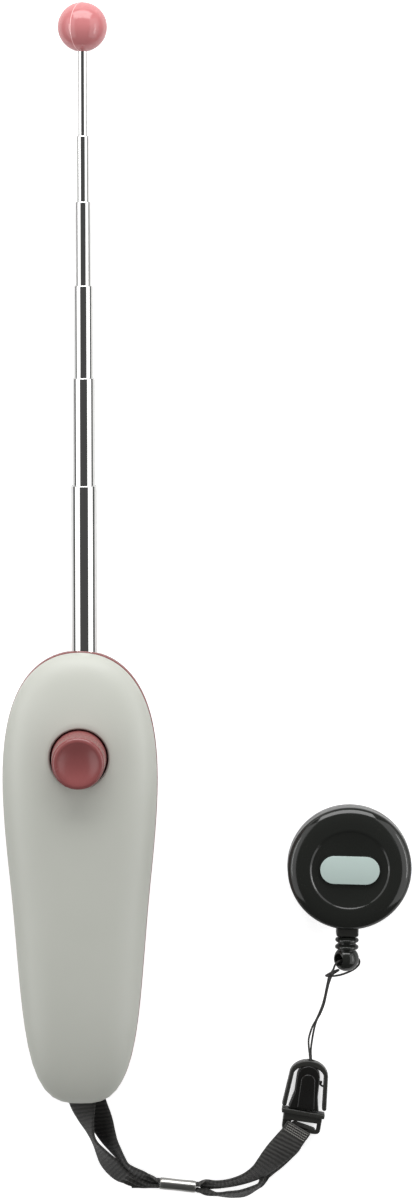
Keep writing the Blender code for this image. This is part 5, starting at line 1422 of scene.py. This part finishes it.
# %% Places in the reel's frame
REEL_TURN = math.radians(-1.6)
STOPPER_BALL_PLACE = Vector((71.9, -23.1, 0.0)) * MM
REEL_RADIUS = 16.75
OUTLET_REACH = 2.1
STOPPER_GAP = 0.3
STOPPER_TOP = -REEL_RADIUS - OUTLET_REACH - STOPPER_GAP
BALL_DROP = 6.15
REEL_ROTATION = Matrix.Rotation(REEL_TURN, 3, "Z")
BALL_TO_MIDDLE = Vector((0.0, BALL_DROP - STOPPER_TOP, 0.0)) * MM
REEL_PLACE = STOPPER_BALL_PLACE + REEL_ROTATION @ BALL_TO_MIDDLE
CORD_LEVEL = 8.2
UP = (0, 0, 1)


def at_reel(x, y, z):
    """A place in the reel's frame, given in millimetres."""
    return REEL_PLACE + REEL_ROTATION @ Vector((x, y, z)) * MM


def reel_turned(name, drawing, steps=128):
    return turned(name, drawing, lambda r, h: at_reel(r, 0.0, h), REEL_PLACE, UP, steps)


def reel_block(name, low, high, edge=0.0):
    """A box in the reel's frame."""
    corners = [at_reel(x, y, low[2]) for x, y in foot_corners(low, high)]
    return raised(name, corners, (0.0, 0.0, (high[2] - low[2]) * MM), edge * MM, 3)


print(f"reel: middle at {REEL_PLACE.x / MM:.2f}, {REEL_PLACE.y / MM:.2f} mm")

# %% Glossy cases
FACE = 13.6
EDGE_ROUND = 2.6
EDGE_REACH = 5.0
WALL = 1.2
DISC = 10.7
DISC_RISE = 0.4
front_drawing = [(0.0, FACE - DISC_RISE), (DISC - 0.5, FACE - DISC_RISE),
                 (DISC - 0.3, FACE - DISC_RISE + 0.08), (DISC - 0.08, FACE - 0.12),
                 (DISC + 0.15, FACE - 0.02), (DISC + 0.6, FACE)]
front_drawing += oval((REEL_RADIUS - EDGE_REACH, FACE - 0.05 - EDGE_ROUND), EDGE_REACH,
                      EDGE_ROUND, 90, 0, 24)
front_drawing += [(REEL_RADIUS, 8.45), (REEL_RADIUS - 0.1, 8.35), (REEL_RADIUS - WALL, 8.35),
                  (REEL_RADIUS - WALL, FACE - EDGE_ROUND), (REEL_RADIUS - EDGE_ROUND, 12.0),
                  (0.0, 12.0)]
reel_front = reel_turned("reel_front_case", front_drawing)
back_drawing = [(0.0, 5.8), (REEL_RADIUS - WALL, 5.8), (REEL_RADIUS - WALL, 8.05),
                (REEL_RADIUS - 0.1, 8.05), (REEL_RADIUS, 7.95)]
back_drawing += arc((REEL_RADIUS - WALL, 4.6 + WALL), WALL, 0, -90, 8)
back_drawing += [(0.0, 4.6)]
reel_back = reel_turned("reel_back_case", back_drawing)
axle_bore = rod("axle_bore", 1.7 * MM, at_reel(0, 0, 0), at_reel(0, 0, 6.8))
combine(reel_back, axle_bore, "DIFFERENCE")
for case, name in ((reel_front, "reel_front_case"), (reel_back, "reel_back_case")):
    notch = reel_block("notch", (-3.3, -33.5, 5.4), (3.3, -REEL_RADIUS + 2.5, 11.0))
    combine(case, notch, "DIFFERENCE")
    finish_piece(case, BLACK_GLOSS, "black_gloss", "reel", name, smooth=30)

# %% Outlet, face plate and drum winding
outlet = reel_block("reel_outlet", (-3.0, -REEL_RADIUS - OUTLET_REACH, 5.7),
                    (3.0, -REEL_RADIUS + 2.2, 10.7), 0.45)
outlet_bore = rod("outlet_bore", 1.0 * MM, at_reel(0, -33.5, CORD_LEVEL), at_reel(0, 0, CORD_LEVEL))
combine(outlet, outlet_bore, "DIFFERENCE")
finish_piece(outlet, BLACK_SATIN, "black_satin", "reel", "reel_outlet")

PLATE_HALF_LENGTH = 4.2
PLATE_RADIUS = 3.8
plate_outline = arc((PLATE_HALF_LENGTH, 0.0), PLATE_RADIUS, -90, 90, 20)
plate_outline += arc((-PLATE_HALF_LENGTH, 0.0), PLATE_RADIUS, 90, 270, 20)
face_plate = raised("reel_face_plate", [at_reel(x, y, FACE - 0.1) for x, y in plate_outline],
                    (0.0, 0.0, 0.4 * MM), 0.12 * MM, 3)
finish_piece(face_plate, PALE_PLATE, "pale_plate", "reel", "reel_face_plate")

winding_drawing = [(7.7, 7.3)]
for layer in range(3):
    winding_drawing += oval((9.32, 7.72 + layer * 0.96), 0.48, 0.46, -80, 80, 4)
winding_drawing += [(7.7, 10.1), (7.7, 7.3)]
winding = reel_turned("reel_cord_winding", winding_drawing, 96)
finish_piece(winding, BLACK_CORD, "black_cord", "spool", "reel_cord_winding", smooth=60)

# %% Ribbed stopper
NECK = 2.4
RING = 3.2
PITCH = 1.9
STOPPER_BALL = 3.4


def at_stopper(radius, height):
    """The stopper is turned about the cord's line; height runs towards the reel."""
    return at_reel(0.0, STOPPER_TOP + height, CORD_LEVEL + radius)


stopper_drawing = [(0.0, 0.0), (NECK - 0.2, 0.0), (NECK, -0.12)]
for ring_number in range(2):
    middle = -PITCH * (ring_number + 0.5)
    stopper_drawing += [(RING - 0.45 + 0.45 * math.cos(math.radians(a)),
                         middle + 0.52 * math.sin(math.radians(a)))
                        for a in (90, 65, 40, 15, -15, -40, -65, -90)]
    stopper_drawing += [(NECK + 0.08, middle - 0.62), (NECK, middle - PITCH / 2)]
start = math.degrees(math.acos(NECK / STOPPER_BALL))
stopper_drawing += arc((0.0, -BALL_DROP), STOPPER_BALL, start, -90, 24)[1:]
stopper_way = REEL_ROTATION @ Vector((0.0, 1.0, 0.0))
stopper = turned("cord_stopper", stopper_drawing, at_stopper, at_reel(0, 0, CORD_LEVEL),
                 stopper_way, 64)
hole_tilt = math.radians(42)
hole_way = REEL_ROTATION @ Vector((-math.cos(hole_tilt), 0.0, math.sin(hole_tilt)))
ball_middle = at_reel(0.0, STOPPER_TOP - BALL_DROP, CORD_LEVEL)
hole_side = hole_way.cross(stopper_way)
hole_drawing = [(0.0, -4.0), (2.6, -4.0)]
for i in range(9):
    share = i / 8
    hole_drawing.append((1.5 + 0.9 * (1 - share) ** 2.2, -3.6 + 1.3 * share))
hole_drawing += [(r, -h) for r, h in reversed(hole_drawing[2:])]
hole_drawing += [(2.6, 4.0), (0.0, 4.0)]
hole = turned("hole", hole_drawing,
              lambda r, h: ball_middle + (hole_side * r + hole_way * h) * MM, ball_middle,
              hole_way, 48)
combine(stopper, hole, "DIFFERENCE")
finish_piece(stopper, BLACK_GLOSS, "black_gloss", "cord", "cord_stopper", smooth=40)

# %% [markdown]
# The reel's cord is straight from the drum to the stopper. When the reel is pulled away, the
# cord goes over from the stopper's place to the reel's, so it is drawn out between them.

# %% Pull cord from the drum to the stopper
PULL_STEPS = 24
pull_start = at_reel(0.0, -10.1, CORD_LEVEL)
pull_end = at_reel(0.0, STOPPER_TOP + 0.3, CORD_LEVEL)
pull_path = [pull_start.lerp(pull_end, i / PULL_STEPS) for i in range(PULL_STEPS + 1)]
pull_cord, _ = tube("reel_pull_cord", pull_path, 0.45 * MM, 16)
PAID_OUT = ("cord", "reel", tuple(at_reel(0.0, STOPPER_TOP, CORD_LEVEL)),
            tuple(at_reel(0.0, -11.5, CORD_LEVEL)))
finish_piece(pull_cord, BLACK_CORD, "black_cord", PAID_OUT, "reel_pull_cord", smooth=60)

# %% Belt clip and rivet
CLIP_HIGH = 4.3
CLIP_THICK = 1.0
CLIP_BACK = 13.0
CLIP_FRONT = -14.0
CLIP_WIDTH = 12.0
bend = CLIP_HIGH / 2
clip_side = [(CLIP_FRONT / 2, CLIP_HIGH), (CLIP_BACK - bend, CLIP_HIGH)]
clip_side += arc((CLIP_BACK - bend, bend), bend, 90, -90, 16)[1:]
clip_side += [(CLIP_FRONT + 3.0, 0.0), (CLIP_FRONT, 1.2), (CLIP_FRONT, 1.2 + CLIP_THICK),
              (CLIP_FRONT + 3.0, CLIP_THICK)]
clip_side += arc((CLIP_BACK - bend, bend), bend - CLIP_THICK, -90, 90, 16)
clip_side += [(CLIP_FRONT / 2, CLIP_HIGH - CLIP_THICK)]
clip_corners = [at_reel(-CLIP_WIDTH / 2, y, z) for y, z in clip_side]
aside = REEL_ROTATION @ Vector((CLIP_WIDTH, 0.0, 0.0)) * MM
belt_clip = raised("belt_clip", clip_corners, aside, 0.15 * MM)
rivet_bore = rod("rivet_bore", 1.8 * MM, at_reel(0, 0, 3.0), at_reel(0, 0, 4.6))
combine(belt_clip, rivet_bore, "DIFFERENCE")
finish_piece(belt_clip, STEEL, "steel", "clip", "belt_clip")
rivet_drawing = [(0.0, 4.3), (1.5, 4.3), (1.5, 3.0), (2.9, 3.0), (3.0, 2.9), (2.85, 2.6),
                 (2.3, 2.38), (1.2, 2.3), (0.0, 2.3)]
rivet = reel_turned("clip_rivet", rivet_drawing, 48)
finish_piece(rivet, STEEL, "steel", "reel", "clip_rivet")

# %% [markdown]
# ## Pieces that stay as they are
#
# What the shells hide keeps its CAD solid: the brass stop, the click leaf and its seat, the
# pin, the axle, the drum and the clock spring. Only their material slots change.

# %% Finishes of the carried pieces
KEPT = {"mast_stop": BRASS, "clicker_leaf": STEEL, "clicker_base": WHITE_PLASTIC,
        "strap_pin": STEEL, "reel_axle": STEEL, "reel_spool": WHITE_PLASTIC,
        "reel_spiral_spring": STEEL}
for name, material in KEPT.items():
    for slot in bpy.data.objects[name].material_slots:
        slot.material = material
print(f"kept nodes: {', '.join(KEPT)}")

# %% [markdown]

# %% [markdown]
# ## The studio
#
# A white table and soft boxes: a tall one with a brighter strip on either side, and a low
# one beyond the ball. Chrome shows whatever stands round it, so the boxes are placed by
# angle: they start 36 degrees from straight up, and what is left dark above them gives each
# tube its dark middle band. The table and the room are told apart by Light Path: the camera
# sees both white, and shiny surfaces see a dim room and a table that darkens away from the
# stick, except round the reel.

# %% Table
FLOOR_SIZE = 6.0
POOL_START = 26.0 * MM
POOL_END = 44.0 * MM
REEL_POOL_START = 46.0 * MM
REEL_POOL_EDGE = 10.0 * MM
REEL_POOL_TOP = (30.0 * MM, 50.0 * MM)
FLOOR_GLOW = 0.6
to_object_mode()
bpy.ops.object.select_all(action="DESELECT")
bpy.ops.mesh.primitive_plane_add(size=FLOOR_SIZE, location=(0.0, 0.0, 0.0))
floor = bpy.context.active_object
floor.name = floor.data.name = "table_top"
floor_material, floor_tree, floor_shader = start_material("table_white")
floor_shader.inputs["Roughness"].default_value = 0.9
floor_shader.inputs["Specular IOR Level"].default_value = 0.0
floor_shader.inputs["Emission Color"].default_value = (1.0, 1.0, 1.0, 1.0)
light_path = add_node(floor_tree, "ShaderNodeLightPath")
floor_ways = add_node(floor_tree, "ShaderNodeSeparateXYZ", {0: object_place(floor_tree)})
# Painted reflection: shiny surfaces see the table painted dark further than POOL_START from the
# mast, except round the reel; the camera sees it white.
aside = calc(floor_tree, "SUBTRACT", floor_ways.outputs[0], MAST_X)
far = ranged(floor_tree, calc(floor_tree, "ABSOLUTE", aside), 0.0, 1.0, POOL_START, POOL_END)
left_of_reel = ranged(floor_tree, floor_ways.outputs[0], 1.0, 0.0, REEL_POOL_START,
                      REEL_POOL_START + REEL_POOL_EDGE)
above_reel = ranged(floor_tree, floor_ways.outputs[1], 0.0, 1.0, *REEL_POOL_TOP)
off_reel = calc(floor_tree, "MAXIMUM", left_of_reel, above_reel)
painted_dark_in_gloss = times(floor_tree, far, light_path.outputs["Is Glossy Ray"])
painted_dark_in_gloss = times(floor_tree, painted_dark_in_gloss, off_reel)
floor_colour = mix_colours(floor_tree, painted_dark_in_gloss, (0.86, 0.86, 0.86), (0.10, 0.10, 0.10))
floor_tree.links.new(floor_colour, floor_shader.inputs["Base Color"])
glow = times(floor_tree, light_path.outputs["Is Camera Ray"], FLOOR_GLOW)
floor_tree.links.new(glow, floor_shader.inputs["Emission Strength"])
floor.data.materials.append(floor_material)

# %% Soft boxes, placed by angle
AIM = Vector((0.02, 0.07, 0.0))


def soft_box(name, azimuth, zenith, distance, long, high, radiance):
    """A rectangle of light that faces the stick; its radiance is what chrome shows."""
    azimuth, zenith = math.radians(azimuth), math.radians(zenith)
    way = Vector((math.sin(zenith) * math.cos(azimuth), math.sin(zenith) * math.sin(azimuth),
                  math.cos(zenith)))
    bpy.ops.object.light_add(type="AREA", location=AIM + way * distance)
    lamp = bpy.context.active_object
    lamp.name = lamp.data.name = name
    lamp.data.shape = "RECTANGLE"
    lamp.data.size, lamp.data.size_y = long, high
    lamp.data.energy = radiance * math.pi * long * high
    lamp.rotation_euler = way.to_track_quat("Z", "Y").to_euler()


for side, azimuth in (("left", 180.0), ("right", 0.0)):
    soft_box(f"{side}_box", azimuth, 60.0, 1.0, 1.7, 0.87, 1.34)
    soft_box(f"{side}_strip", azimuth, 63.0, 0.95, 0.7, 0.09, 5.5)
soft_box("far_box", 90.0, 66.0, 1.0, 1.25, 0.62, 5.4)

# %% Room
ROOM_LIGHT = 0.22
ROOM_SEEN_IN_GLOSS = 0.07
world = bpy.data.worlds.new("studio")
bpy.context.scene.world = world
world.use_nodes = True
world_tree = world.node_tree
backdrop = world_tree.nodes["Background"]
backdrop.inputs["Color"].default_value = (1.0, 1.0, 1.0, 1.0)
ray = add_node(world_tree, "ShaderNodeLightPath")
gloss = times(world_tree, ray.outputs["Is Glossy Ray"], ROOM_SEEN_IN_GLOSS - ROOM_LIGHT)
shown = times(world_tree, ray.outputs["Is Camera Ray"], 1.0 - ROOM_LIGHT)
strength = plus(world_tree, plus(world_tree, gloss, shown), ROOM_LIGHT)
world_tree.links.new(strength, backdrop.inputs["Strength"])
print("studio: table, five soft boxes, dim room")
